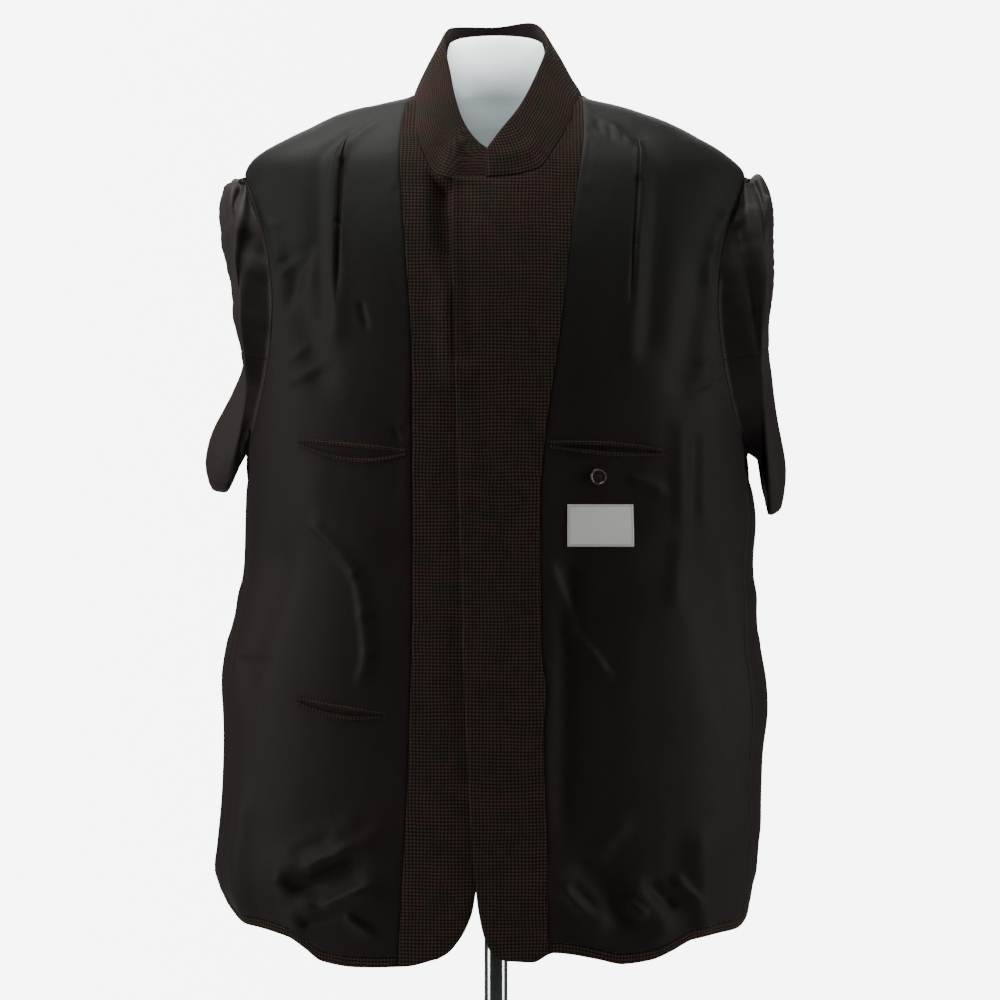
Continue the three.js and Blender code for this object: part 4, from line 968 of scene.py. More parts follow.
    def front_area(self) -> Area:
        """Area of the front lining."""
        foot = self.seam_foot_turn(True)
        curves = (
            self.shoulder,
            self.turnup_line(self.seam_turn, foot),
            self.lining_seam,
            self.outer_edge(True, foot),
        )
        return SKIN.opened(curves, behind=False)

    def facing_area(self) -> Area:
        """Area of the facing, down to the hem."""
        front_edge, _ = self.front_curve(self.edge)
        edge_x, edge_z = front_edge(1.0)
        seam_x = self.facing_seam(np.array(1.0))[0]
        lack = edge_z - self.hem_at(edge_x)

        def foot(u: Array) -> Array:
            x = edge_x + (seam_x - edge_x) * u
            return joined(x, self.hem_at(x) + lack * (1 - u) ** 2)

        flat = patch(self.front_curve(self.gorge)[0], foot, front_edge, self.facing_seam)
        return lambda u, v: SKIN.on_front(flat(u, v))

    def side_area(self) -> Area:
        """Area of the side panel under the arm."""
        front_turn, back_turn = self.seam_foot_turn(True), self.seam_foot_turn(False)

        def lower(curve: Curve) -> Curve:
            return lambda v: curve(JOIN_SHARE + (1 - JOIN_SHARE) * np.asarray(v))

        return patch(
            lambda u: self.armhole(FRONT_JOIN + (360 - 2 * FRONT_JOIN) * u),
            self.turnup_line(front_turn, back_turn),
            lower(self.outer_edge(True, front_turn)),
            lower(self.outer_edge(False, back_turn)),
        )

    def back_top(self, u: Array) -> Array:
        """Returns the back's upper edge, along the neck and then the shoulder."""
        share = NECK_COLUMNS / (NECK_COLUMNS + FRONT_COLUMNS)
        neck_down = self.lining_seam(np.array(0.0))[1]
        t = np.clip(np.asarray(u) / share, 0, 1)
        neck = joined(self.sign * (180 - 90 * t), neck_down * (0.35 + 0.65 * t * t))
        ridge = self.shoulder(np.clip((np.asarray(u) - share) / (1 - share), 0, 1))
        return np.where((np.asarray(u) >= share)[..., None], ridge, neck)

    def back_area(self) -> Area:
        """Area of the back lining, from the middle seam outwards."""
        top = float(self.back_top(np.array(0.0))[1])
        foot = float(SKIN.down_at(self.hem_height(180.0) + TURNUP))
        back_turn = self.seam_foot_turn(False)
        curves = (
            self.back_top,
            self.turnup_line(180, back_turn),
            lambda v: joined(self.sign * 180, top + (foot - top) * v),
            self.outer_edge(False, back_turn),
        )
        return SKIN.opened(curves, behind=True)


LEFT_HALF = HalfCut(Side.LEFT, FACING_SEAM_LEFT, FRONT_EDGE_LEFT, GORGE_LEFT, HEM_LEFT)
RIGHT_HALF = HalfCut(Side.RIGHT, FACING_SEAM_RIGHT, FRONT_EDGE_RIGHT, GORGE_RIGHT, HEM_RIGHT)


def finish_piece(piece: Object, material: Material, slot: str, *nodes: str) -> Object:
    """Gives a piece its finish and ties it to the frame.

    Args:
        piece: The piece.
        material: Its finish.
        slot: The record's material slot. It is not used.
        nodes: The CAD nodes that it stands for.

    Returns:
        The piece.
    """
    piece.data.materials.clear()
    piece.data.materials.append(material)
    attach(piece, BODY)
    if nodes:
        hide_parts(*nodes)
    return piece


def satin_waves(across: Array, along: Array, seed: int) -> Array:
    """Returns the low unevenness in mm of hanging satin."""
    streaks = 0.45 * ripple(across, along, 24, 190, seed)
    pulls = 0.3 * ripple(across + 0.5 * along, along, 42, 60, seed + 1)
    fine = 0.1 * ripple(across, along, 9, 22, seed + 2)
    return streaks + pulls + fine


def pucker(sheet: Sheet, seed: int) -> Array:
    """Returns the small uneven pulls in mm that run in from a sewn edge."""
    across, down = sheet.cloth[..., 0], sheet.cloth[..., 1]
    pulls = ripple(across, down, 7, 9, seed) + 0.6 * ripple(across, down, 15, 18, seed + 1)
    return PUCKER_DEPTH * pulls * np.exp(-((sheet.edge / PUCKER_REACH) ** 2))


@dataclass
class CutPiece:
    """One cut piece of a half of the coat.

    Attributes:
        half: The half's seam lines.
        creases: Fine folds on the piece's own plane.
        step: Spacing of the mesh in mm.
    """

    half: HalfCut
    creases: Sequence[Crease] = ()
    step: float = 2.9

    def finished(self, kind: str, sheet: Sheet, finish: Material, slot: str, **shell) -> Object:
        """Makes the piece from its sheet.

        Args:
            kind: What it is, the first words of its CAD node.
            sheet: Its places, on the outer face.
            finish: Its material.
            slot: The record's material slot.
            shell: How its shell differs from the usual one.

        Returns:
            The piece.
        """
        node = f"{kind}_{self.half.side.word}"
        return finish_piece(cloth_object(f"{node}_cloth", sheet, **shell), finish, slot, node)


@dataclass
class Lining(CutPiece):
    """Cut piece of the satin lining.

    Attributes:
        KIND: The first words of its CAD node.
        SIZE: Its width and height in mm, for the mesh.
        SEED: Seed of the pulls along its seams.
    """

    KIND: ClassVar[str]
    SIZE: ClassVar[tuple[float, float]]
    SEED: ClassVar[int]

    @property
    def lapped(self) -> bool:
        """Whether it lies over the other half."""
        return False

    def across(self, sheet: Sheet) -> Array:
        """Returns how far across its places are."""
        return sheet.point[..., 0]

    def area(self) -> Area:
        """Returns the piece's area on the skin."""
        raise NotImplementedError

    def relief(self, across: Array, z: Array) -> Array:
        """Returns the fine height in mm over the skin."""
        raise NotImplementedError

    def build(self, finish: Material) -> Object:
        """Makes the piece."""
        columns, rows = (stations(length, self.step) for length in self.SIZE)
        sheet = panel(self.area(), columns, rows, self.lapped)
        rise = self.relief(self.across(sheet), sheet.point[..., 2])
        rise = rise + pucker(sheet, self.SEED + self.half.sign)
        sheet.lift(CLOTH / 2 + rise * sheet.free)
        return self.finished(self.KIND, sheet, finish, "lining")


@dataclass
class FrontLining(Lining):
    """Lining of one front, with its pocket hollows, by x and height."""

    KIND = "front_lining"
    SIZE = (215, 790)
    SEED = 31

    @property
    def lapped(self) -> bool:
        """Whether it lies over the other half."""
        return self.half.lapped

    def area(self) -> Area:
        """Returns the piece's area on the skin."""
        return self.half.front_area()

    def relief(self, across: Array, z: Array) -> Array:
        """Returns the fine height in mm over the skin."""
        rise = crease_rise(self.creases, across, z)
        rise = rise + satin_waves(across, z, 11 + self.half.sign)
        for row in POCKETS:
            if (row.x0 < 0) != (self.half.sign < 0):
                continue
            share = np.clip((across - row.x0) / (row.x1 - row.x0), 0, 1)
            inside = ((across > row.x0) & (across < row.x1)) * np.sin(np.pi * share) ** 0.5
            middle = row.z0 + (row.z1 - row.z0) * share - row.sag * np.sin(np.pi * share)
            open_half = row.gape / 2 + 1.2
            rise = rise - POCKET_DEPTH * inside * np.exp(-(((z - middle) / open_half) ** 4))
        return rise

    def spot(self, x: Array, z: Array, lift: Array | float = 0.0) -> tuple[Array, Array]:
        """Returns points in mm over the lining's outer face, and its normals."""
        x, z = np.broadcast_arrays(np.asarray(x, float), np.asarray(z, float))
        turn, down = SKIN.turn_at(x, z), SKIN.down_at(z)
        point, normal = SKIN.place(turn, down, self.half.lapped)
        height = CLOTH / 2 + self.relief(x, z) + lift
        return point + normal * np.asarray(height)[..., None], normal

    def sheet(self, x: Array, z: Array, lift: Array, flat: tuple | None = None) -> Sheet:
        """Returns a sheet of places over the lining's outer face.

        Args:
            x: Places across.
            z: Their heights.
            lift: How far they stand off the lining, in mm.
            flat: Their places across and down the flat cloth, if already known.
        """
        point, _ = self.spot(*np.broadcast_arrays(x, z), lift)
        _, normal = self.spot(point[..., 0], point[..., 2])
        made = Sheet(point, normal)
        if flat:
            made.cloth = joined(*flat)
        return made


@dataclass
class SideLining(Lining):
    """Lining of the side panel under one arm, by mm round it and height."""

    step: float = 3.2
    KIND = "side_lining"
    SIZE = (110, 430)
    SEED = 41

    def across(self, sheet: Sheet) -> Array:
        """Returns how far across its places are."""
        return np.abs(sheet.turn) * SIDE_DEGREE

    def area(self) -> Area:
        """Returns the piece's area on the skin."""
        return self.half.side_area()

    def relief(self, across: Array, z: Array) -> Array:
        """Returns the fine height in mm over the skin."""
        return crease_rise(self.creases, across, z) + satin_waves(across, z, 21)


@dataclass
class BackLining(Lining):
    """Lining of one half of the back, by x and height."""

    step: float = 3.4
    KIND = "back_lining"
    SIZE = (250, 750)
    SEED = 61

    def area(self) -> Area:
        """Returns the piece's area on the skin."""
        return self.half.back_area()

    def relief(self, across: Array, z: Array) -> Array:
        """Returns the fine height in mm over the skin."""
        waves = 1.2 * satin_waves(across, z, 51 + self.half.sign)
        return crease_rise(self.creases, across, z) + waves


@dataclass
class Facing(CutPiece):
    """Wool facing of one front, with the lapel's roll at its top."""

    def build(self, finish: Material) -> Object:
        """Makes the piece, with the grain of its cloth running straight down."""
        columns, rows = (stations(length, self.step) for length in FACING_SIZE)
        sheet = panel(self.half.facing_area(), columns, rows, self.half.lapped)
        x, z = sheet.point[..., 0], sheet.point[..., 2]
        rise = crease_rise(self.creases, x, z) + 0.25 * ripple(x, z, 30, 75, 5)
        sheet.lift(CLOTH / 2 + (rise + 0.1 * ripple(x, z, 11, 14, 8)) * sheet.free)
        x, z = sheet.point[..., 0], sheet.point[..., 2]
        straight = joined(x, SKIN.down_at(z))
        return self.finished("facing", sheet, finish, "wool", roll=0.7, grain=straight)


@dataclass
class HemTurnup(CutPiece):
    """Band of wool turned up at the hem, from one facing to the middle back."""

    def turns(self, count: int) -> Array:
        """Returns even turns from the facing's foot to the middle back."""
        return np.linspace(self.half.seam_turn, 180, count)

    def build(self, finish: Material) -> Object:
        """Makes the piece."""
        half = self.half
        turns = self.turns(190)
        foot_turn = abs(float(SKIN.on_front(half.facing_seam(np.array(1.0)))[0]))
        shares = stations(TURNUP, 1.2, (0.5, 1.2))
        top, low = half.turnup_height(turns), half.hem_height(turns)
        z = top + (low - top) * shares[:, None]
        slip = (foot_turn - turns[0]) * shares[:, None] * np.exp(-(turns - turns[0]) / 3)
        point, normal = SKIN.place(half.sign * (turns + slip), SKIN.down_at(z), half.lapped)
        sheet = Sheet(point, normal)
        along = sheet.cloth[..., 0]
        sheet.lift(CLOTH / 2 - HEM_STEP + 0.25 * ripple(along, z, 16, 8, 71))
        sheet.cloth = sheet.cloth + np.array([0, half.sign * 3.0])
        return self.finished("hem_turnup", sheet, finish, "wool", roll=0.6)

    def stitch_line(self) -> Array:
        """Returns the line in mm where the lining is slip-stitched to the band."""
        half = self.half
        turns = self.turns(260)
        down = SKIN.down_at(half.turnup_height(turns) + 1.0)
        point, normal = SKIN.place(half.sign * turns, down, half.lapped)
        return point + normal * (CLOTH / 2 + HEM_STEP)


@dataclass
class Sleeve(CutPiece):
    """Sleeve pushed in through its armhole, in an upper and an under piece.

    Its creases lie in mm round from the shoulder and mm along the run.

    Attributes:
        loops: The sleeve's loops, from its rim in to its cuff.
    """

    step: float = 2.8
    loops: Sequence[Loop] = ()

    def rings(self, angle: Array) -> Array:
        """Returns the sleeve's loops, (loops, angles, 3), in mm."""
        rings = []
        for shrink, out in ((0, 0), (SLEEVE_START, 1.5)):
            place = self.half.armhole(angle, shrink)
            point, normal = SKIN.place(place[..., 0], place[..., 1], False)
            rings.append(point + normal * out)
        c, s = np.cos(np.radians(angle)), np.sin(np.radians(angle))
        below = np.minimum(np.abs(angle - 180) / FLAP_HALF_ANGLE, 1)
        flap = np.cos(below * np.pi / 2) ** 2
        gather = np.zeros_like(angle)
        for fold in GATHERS:
            rise = fold.left if self.half.side is Side.LEFT else fold.right
            away = ((angle - fold.at + 180) % 360 - 180) / fold.half
            gather += GATHER_SHARE * rise * np.exp(-(away**2))
        for k, row in enumerate(self.loops):
            loose = max(1 - abs(k - 1.5) / 3, 0)
            out = row.out_high * (1 + c) / 2 + row.out_low * (1 - c) / 2
            out = out + row.flap * flap + gather * loose
            y = -np.where(s > 0, row.front, row.back) * s
            z = row.high * (1 + c) / 2 + row.low * (1 - c) / 2 - row.drop * flap
            rings.append(joined(self.half.sign * out, y, z))
        return np.array(rings)

    def sheet(self, start: float, end: float) -> Sheet:
        """Returns the part of the sleeve between two angles, on its lining side."""
        middle = self.rings(np.array([0.0, 90.0, 180.0, 270.0])).mean(axis=1)
        at = running_length(middle) + np.arange(len(middle)) * 6.0
        near = stations(SLEEVE_FINE_RUN, self.step) * SLEEVE_FINE_RUN
        far = np.linspace(SLEEVE_FINE_RUN, at[-1], 74)[1:]
        run = np.concatenate([near, far])
        angle = start + (end - start) * stations((end - start) * SLEEVE_DEGREE, self.step)
        point = Smooth(at, self.rings(angle))(run)
        around, along = np.gradient(point, axis=1), np.gradient(point, axis=0)
        normal = unit(np.cross(around, along)) * self.half.sign
        sheet = Sheet(point, normal)
        across, down = np.broadcast_arrays(angle[None, :] * SLEEVE_DEGREE, run[:, None])
        seed = 80 + self.half.sign
        gathers = 1.5 * ripple(across + 0.2 * down, down, 13, 70, seed)
        gathers = gathers + 0.7 * ripple(across, down, 6.5, 30, seed + 3)
        held = (1 - np.exp(-((down / 5) ** 2))) * np.exp(-((down / 75) ** 2))
        rise = gathers * held + crease_rise(self.creases, across, down)
        sheet.lift(CLOTH / 2 + rise + 0.3 * ripple(across, down, 30, 80, seed + 5))
        return sheet

    def build(self, finish: Material) -> list[Object]:
        """Makes both pieces."""
        made = []
        spans = (("upper", -SLEEVE_SEAM_ANGLE), ("under", SLEEVE_SEAM_ANGLE))
        for which, start in spans:
            end = 360 - SLEEVE_SEAM_ANGLE if which == "under" else SLEEVE_SEAM_ANGLE
            sheet = self.sheet(start, end)
            made.append(self.finished(f"sleeve_{which}", sheet, finish, "lining", roll=0.4))
        return made

    def seam_line(self, shrink: float = 2.5) -> Array:
        """Returns the line in mm of the hand stitches round the armhole."""
        place = self.half.armhole(np.linspace(0, 360, 240), shrink)
        point, normal = SKIN.place(place[..., 0], place[..., 1], False)
        return point + normal * (CLOTH / 2 + 0.7)


@dataclass
class Collar:
    """Turned-up collar: the wool top collar outside and the felt behind it.

    Attributes:
        creases: Fine folds along the collar and up it, in mm.
        columns: How many columns of the mesh run along each panel's edge.
        rows: How many rows it has.
    """

    creases: Sequence[Crease]
    columns: int = 40
    rows: int = 24

    def seam(self) -> tuple[Array, Array]:
        """Returns the line on the panels' top edges and its outward directions."""
        neck = NECK_COLUMNS / (NECK_COLUMNS + FRONT_COLUMNS)
        count, top = self.columns, np.array([0.0])
        runs = (
            (RIGHT_HALF.facing_area(), np.linspace(NOTCH_SHARE, GORGE_END, count), True),
            (RIGHT_HALF.back_area(), np.linspace(neck * NECK_END, MIDDLE_GAP, count), False),
            (LEFT_HALF.back_area(), np.linspace(MIDDLE_GAP, neck * NECK_END, count), False),
            (LEFT_HALF.facing_area(), np.linspace(GORGE_END, 0, count), False),
        )
        points, normals = [], []
        for area, shares, lapped in runs:
            places = area(shares, top)[0]
            point, normal = SKIN.place(places[:, 0], places[:, 1], lapped)
            points.append(point)
            normals.append(normal)
        return np.concatenate(points), np.concatenate(normals)

    def sheet(self) -> Sheet:
        """Returns the middle of the two leaves."""
        seam, seam_normal = self.seam()
        length = running_length(seam)
        edge = np.array(COLLAR_EDGE, float)
        along_edge = running_length(edge)
        free = Smooth(along_edge, edge, free=True)(length / length[-1] * along_edge[-1])
        v = stations(COLLAR_HEIGHT, COLLAR_HEIGHT / self.rows, (0.6, 1.4, 2.6))[:, None, None]
        point = seam[None] * (1 - v) + free[None] * v
        outward = point - np.array(NECK_MIDDLE)
        outward[..., 2] = 0
        point = point + unit(outward) * COLLAR_BULGE * np.sin(np.pi * v)
        normal = unit(np.cross(np.gradient(point, axis=1), np.gradient(point, axis=0)))
        normal *= np.sign(np.sum(normal * outward, axis=-1, keepdims=True))
        normal[0] = unit(normal[1] + seam_normal)
        return Sheet(point, normal)

    def build(self, wool: Material, felt: Material) -> list[Object]:
        """Makes both leaves."""
        made = []
        leaves = (("top_collar", 1, COLLAR_CLOTH, wool), ("undercollar", -1, FELT, felt))
        for name, sign, thick, finish in leaves:
            sheet = self.sheet()
            along, up = sheet.cloth[..., 0], sheet.cloth[..., 1]
            rise = crease_rise(self.creases, along, up) + 0.35 * ripple(along, up, 34, 22, 91)
            sheet.lift(rise)
            sheet.normal = sheet.normal * sign
            sheet.lift(LEAF_GAP / 2 + thick)
            roll = 0.8 if sign > 0 else 0.4
            piece = cloth_object(f"{name}_cloth", sheet, wall=thick + 0.1, roll=roll)
            made.append(finish_piece(piece, finish, "wool" if sign > 0 else "felt", name))
        return made


@dataclass
class Pleat:
    """Sewn pleat in a front lining: a narrow groove between two soft folds.

    Attributes:
        front: The lining it is folded in.
        path: Its groove, from the shoulder down.
        near: Height of the fold on the groove's left.
        far: Height of the fold on its right.
        width: How far the folds reach to either side.
        groove: Depth of the groove.
    """

    front: FrontLining
    path: Sequence[Spot]
    near: float
    far: float
    width: float = 11.0
    groove: float = 4.2

    def build(self, finish: Material) -> Object:
        """Makes the folds."""
        rows = np.array(self.path, float)
        at = running_length(rows)
        run = np.linspace(0, at[-1], int(at[-1] / 2.2))
        spot = Smooth(at, rows, free=True)(run)
        half = np.array([0.03, 0.06, 0.085, 0.11, 0.15, 0.22, 0.32, 0.45, 0.6, 0.8, 1.0])
        t = np.concatenate([-half[::-1], [0.0], half])
        rise = np.where(t < 0, self.near, self.far)
        fold = rise * np.exp(-((t / 0.5) ** 2)) - 0.35 * np.abs(t)
        groove = self.groove * np.exp(-((t / 0.06) ** 2))
        fade = eased((at[-1] - run) / (0.5 * at[-1])) * (0.3 + 0.7 * eased(run / 20))
        uneven = 1 + 0.3 * ripple(run, 0 * run, 31, 9, 12)
        lift = (fade * uneven)[:, None] * (fold - groove) - 0.3 * (1 - fade[:, None])
        x, z = spot[:, :1] + self.width * t, spot[:, 1:] + 0 * t
        point, normal = self.front.spot(x, z, lift)
        name = f"pleat_{self.front.half.side.word}_fold"
        piece = cloth_object(name, Sheet(point, normal), wall=0.3, roll=0.0)
        return finish_piece(piece, finish, "lining")


@dataclass
class Pocket:
    """Piped pocket mouth on a front, with its two rolled lips.

    Attributes:
        front: The lining it is cut in.
        row: Its place and size.
    """

    front: FrontLining
    row: PocketRow

    def line(self, sign: int, share: float, lift: float, count: int = 90) -> Array:
        """Returns a line along a lip at a share of its height, in mm."""
        x, z = self.places(sign, np.linspace(0, 1, count), share)
        return self.front.spot(x, z, lift)[0]

    def places(self, sign: int, u: Array, k: Array | float) -> tuple[Array, Array]:
        """Returns x and height on a lip by shares along it and across it."""
        row = self.row
        bow = np.sin(np.pi * u)
        x = row.x0 + (row.x1 - row.x0) * u
        middle = row.z0 + (row.z1 - row.z0) * u - row.sag * bow
        near = 0.2 + row.gape / 2 * bow
        return x, middle + sign * (near + k * row.lip * (0.55 + 0.45 * bow))

    def build(self, finish: Material) -> list[Object]:
        """Makes the two lips."""
        made = []
        length = math.hypot(self.row.x1 - self.row.x0, self.row.z1 - self.row.z0)
        u = stations(length, 1.4, (0.5, 1.1, 1.8))[None, :]
        k = np.linspace(0, 1, 13)[:, None]
        for word, sign in (("upper", 1), ("lower", -1)):
            ends = 1 - np.exp(-((np.minimum(u, 1 - u) * length / 1.6) ** 2))
            round_back = np.sqrt(np.clip(1 - (1.9 * k - 0.9) ** 2, 0, 1))
            uneven = 0.15 * ripple(u * length, 30 * k, 9, 9, 3)
            height = -0.6 + (2.6 * round_back + uneven) * ends
            flat = u * length, k * self.row.lip * 1.5
            sheet = self.front.sheet(*self.places(sign, u, k), height, flat)
            node = f"pocket_{self.row.name}_{word}_lip"
            piece = cloth_object(f"{node}_cloth", sheet, wall=0.5, roll=0.1)
            made.append(finish_piece(piece, finish, "wool", node))
        return made


@dataclass
class PocketButton:
    """Four-hole button with a raised rim, sewn on under the pocket, in mm.

    Its middle lies below the rim by the dish, and its back off the lining by
    the lift.
    """

    front: FrontLining
    x: float = 92
    z: float = 1141
    radius: float = 7.5
    thickness: float = 3.2
    rim: float = 1.8
    dish: float = 0.8
    lift: float = 0.5

    def axes(self) -> tuple[Array, Array, Array, Array]:
        """Returns the button's middle, and its directions across, up and out."""
        point, normal = self.front.spot(self.x, self.z, self.lift)
        across = unit(np.cross(np.array([0.0, 0.0, 1.0]), normal))
        across = across if across[0] > 0 else -across
        up = np.cross(normal, across)
        return point, across, up * np.sign(up[2]), normal

    def placed(self, x: Array, y: Array, height: Array) -> Array:
        """Returns points from measures across, up and out from the back."""
        point, across, up, out = self.axes()
        return point + x[..., None] * across + y[..., None] * up + height[..., None] * out

    def build(self, horn: Material, thread: Material) -> list[Object]:
        """Makes the button and its thread."""
        inner = np.linspace(0.02, self.radius - self.rim, 26)
        edge = self.radius - self.rim * np.array([0.85, 0.68, 0.5, 0.3, 0.16, 0.06, 0, 0, 0.06])
        r = np.concatenate([inner, edge])[:, None]
        face = self.thickness - self.dish + 0 * inner
        brim = self.thickness - np.array([0.5, 0.2, 0.0, 0.05, 0.3, 0.7, 1.3, 2.2, 3.0])
        height = np.concatenate([face, brim])[:, None]
        a = np.linspace(0, 2 * np.pi, 96, endpoint=False)[None, :]
        x, y = r * np.cos(a), r * np.sin(a)
        holes = sum(
            np.exp(-(((x - HOLE_PLACE * i) ** 2 + (y - HOLE_PLACE * j) ** 2) / HOLE_RADIUS**2) ** 2)
            for i in (-1, 1)
            for j in (-1, 1)
        )
        points = self.placed(x, y, height - HOLE_DEPTH * holes)
        button = round_object("pocket_button_horn", points)
        top = self.thickness - self.dish
        s = np.linspace(-1, 1, 15)
        height = top + 0.45 * (1 - s**4) - 0.5 * s**8
        lines = [
            self.placed(HOLE_PLACE * s, side * HOLE_PLACE + 0 * s + 0.16 * k, height)
            for side in (-1, 1)
            for k in (-1, 0, 1)
        ]
        sewn = tube_object("pocket_button_thread", lines, 0.17)
        return [
            finish_piece(button, horn, "button", "pocket_button"),
            finish_piece(sewn, thread, "button"),
        ]


def tube_object(name: str, lines: Sequence[Array], radius: float, sides: int = 6) -> Object:
    """Makes round thread along lines in mm, as one object."""
    points, faces, count = [], [], 0
    for line in lines:
        along = unit(np.gradient(line, axis=0))
        side = unit(np.cross(along, np.array([0.0, -0.3, 1.0])))
        up = np.cross(side, along)
        a = np.linspace(0, 2 * np.pi, sides, endpoint=False)[None, :, None]
        ring = line[:, None] + radius * (np.cos(a) * side[:, None] + np.sin(a) * up[:, None])
        points.append(ring.reshape(-1, 3))
        faces.append(grid_faces(len(line), sides, False, closed=True) + count)
        count += ring.shape[0] * sides
    return mesh_object(name, np.concatenate(points), np.concatenate(faces))


@dataclass
class WovenLabel:
    """Bare woven label on the lining, edged with a woven border.

    Its middle stands at x and z, and its sizes are in mm.
    """

    front: FrontLining
    x: float = 94
    z: float = 1097
    width: float = 59
    height: float = 38
    thickness: float = 0.8

    def places(self, u: Array, v: Array) -> tuple[Array, Array]:
        """Returns x and height on the label by shares across and down."""
        return self.x + self.width * (u - 0.5), self.z + self.height * (0.5 - v)

    def build(self, finish: Material) -> Object:
        """Makes the label."""
        u, v = stations(self.width, 1.2)[None, :], stations(self.height, 1.2)[:, None]
        flat = u * self.width, v * self.height
        lift = 0.6 + self.thickness + 0.12 * ripple(*flat, 14, 11, 6)
        sheet = self.front.sheet(*self.places(u, v), lift, flat)
        piece = cloth_object("woven_label_cloth", sheet, wall=self.thickness, roll=0.4)
        return finish_piece(piece, finish, "label", "woven_label")

    def stitch_line(self) -> Array:
        """Returns the line in mm of the stitches round the label's edge."""
        t = np.linspace(0, 1, 50)
        aside, above = LABEL_INSET
        across = np.concatenate([t, 1 + 0 * t, 1 - t, 0 * t]) * (1 - 2 * aside) + aside
        down = np.concatenate([0 * t, t, 1 + 0 * t, 1 - t]) * (1 - 2 * above) + above
        return self.front.spot(*self.places(across, down), 1.5)[0]


@dataclass
class DressForm:
    """Smooth glossy dress form with a flat-topped neck.

    Attributes:
        rings: Its rings from the underside up.
        columns: How many columns its mesh has.
    """

    rings: Sequence[FormRow]
    columns: int = 160

    def build(self, finish: Material) -> Object:
        """Makes the form."""
        table = np.array(self.rings, float)
        at = running_length(table[:, :2])
        fine = np.unique(np.concatenate([np.arange(0, at[-1], 6.0), at, [at[-1] - 1.5]]))
        rows = Smooth(at, table)(fine)
        low, high = rows[:1].copy(), rows[-1:].copy()
        lows = [low * np.array([1, s, s, s]) for s in (0.01, 0.5, 0.9, 0.97)]
        highs = [high * np.array([1, s, s, s]) for s in (0.97, 0.9, 0.5, 0.01)]
        rows = np.concatenate([*lows, rows, *highs])
        a = np.linspace(0, 2 * np.pi, self.columns, endpoint=False)
        z, half, ahead, behind = (rows[:, k][:, None] for k in range(4))
        depth = np.where(np.cos(a) > 0, ahead, behind)
        x, y = half * np.sin(a), -depth * np.cos(a)
        piece = round_object("dress_form_shell", joined(x, y, z))
        return finish_piece(piece, finish, "form", "dress_form")


def round_object(name: str, points: Array) -> Object:
    """Makes a shape from rings of points in mm, (rings, columns, 3)."""
    rows, columns = points.shape[:2]
    faces = grid_faces(rows, columns, True, closed=True)
    return mesh_object(name, points.reshape(-1, 3), faces)


def turned_object(name: str, profile: Sequence[tuple[float, float]], columns: int) -> Object:
    """Makes a shape turned round +Z from (radius, height) in mm."""
    rows = np.array(profile, float)
    a = np.linspace(0, 2 * np.pi, columns, endpoint=False)
    x, y = rows[:, :1] * np.cos(a), rows[:, :1] * np.sin(a)
    return round_object(name, joined(x, y, rows[:, 1:]))


@dataclass
class Stand:
    """Chrome pole and its weighted round base, with a boss that holds the pole.

    The sizes are in mm, with a small gap at either end of the pole.
    """

    pole_radius: float = 11
    base_radius: float = 195
    base_thickness: float = 9
    boss_radius: float = 24
    boss_top: float = 34
    pole_top: float = 846
    gap: float = 0.3

    def rounded(self, radius: float, height: float, round_by: float) -> list[tuple[float, float]]:
        """Returns a rounded outer corner from the wall up onto the top."""
        return [
            (radius - round_by * (1 - math.cos(t)), height - round_by * (1 - math.sin(t)))
            for t in np.linspace(0, math.pi / 2, 7)
        ]

    def build(self, finish: Material) -> list[Object]:
        """Makes the base and the pole."""
        r, t, boss, top = self.base_radius, self.base_thickness, self.boss_radius, self.boss_top
        profile = [(0.5, 0.0), (r - 2, 0.0), (r - 0.4, 0.6), (r, 2.0)]
        profile += self.rounded(r, t, 3)
        profile += [(boss + 60, t + 1), (boss + 8, t + 3), (boss + 3, t + 5), (boss, t + 10)]
        profile += [(boss - 1.5, top - 10), (boss - 3, top - 4)]
        profile += self.rounded(boss - 3, top, 4)
        profile += [(self.pole_radius + 1, top), (0.5, top)]
        base = turned_object("stand_base_chrome", profile, 160)
        low, high, p = top + self.gap, self.pole_top - self.gap, self.pole_radius
        shaft = [(0.5, low), (p - 0.6, low), (p, low + 0.6)]
        shaft += [(p, z) for z in np.linspace(low + 20, high - 20, 20)]
        shaft += [(p, high - 0.6), (p - 0.6, high), (0.5, high)]
        pole = turned_object("stand_pole_chrome", shaft, 64)
        return [
            finish_piece(base, finish, "chrome", "stand_base"),
            finish_piece(pole, finish, "chrome", "stand_pole"),
        ]


def linear(colour: str) -> tuple[float, float, float, float]:
    """Returns a linear colour with alpha from an sRGB hex value."""
    parts = [int(colour[i : i + 2], 16) / 255 for i in (1, 3, 5)]
    lin = [c / 12.92 if c <= 0.04045 else ((c + 0.055) / 1.055) ** 2.4 for c in parts]
    return (*lin, 1.0)


def add_node(tree: NodeTree, kind: str, *, settings: dict | None = None, **inputs) -> Node:
    """Adds a node with its settings, values and links.

    Args:
        tree: The node tree.
        kind: The node's type.
        settings: Its own properties.
        inputs: Values or sockets by input name with spaces as underscores, or
            by number as i0, i1 and so on.

    Returns:
        The node.
    """
    node = tree.nodes.new(kind)
    for key, value in (settings or {}).items():
        setattr(node, key, value)
    for key, value in inputs.items():
        numbered = key[0] == "i" and key[1:].isdigit()
        socket = node.inputs[int(key[1:]) if numbered else key.replace("_", " ")]
        if isinstance(value, NodeSocket):
            tree.links.new(value, socket)
        else:
            socket.default_value = value
    return node


def new_material(name: str) -> tuple[Material, NodeTree]:
    """Makes an empty node material with only an output node."""
    material = bpy.data.materials.new(name)
    material.use_nodes = True
    material.node_tree.nodes.clear()
    return material, material.node_tree


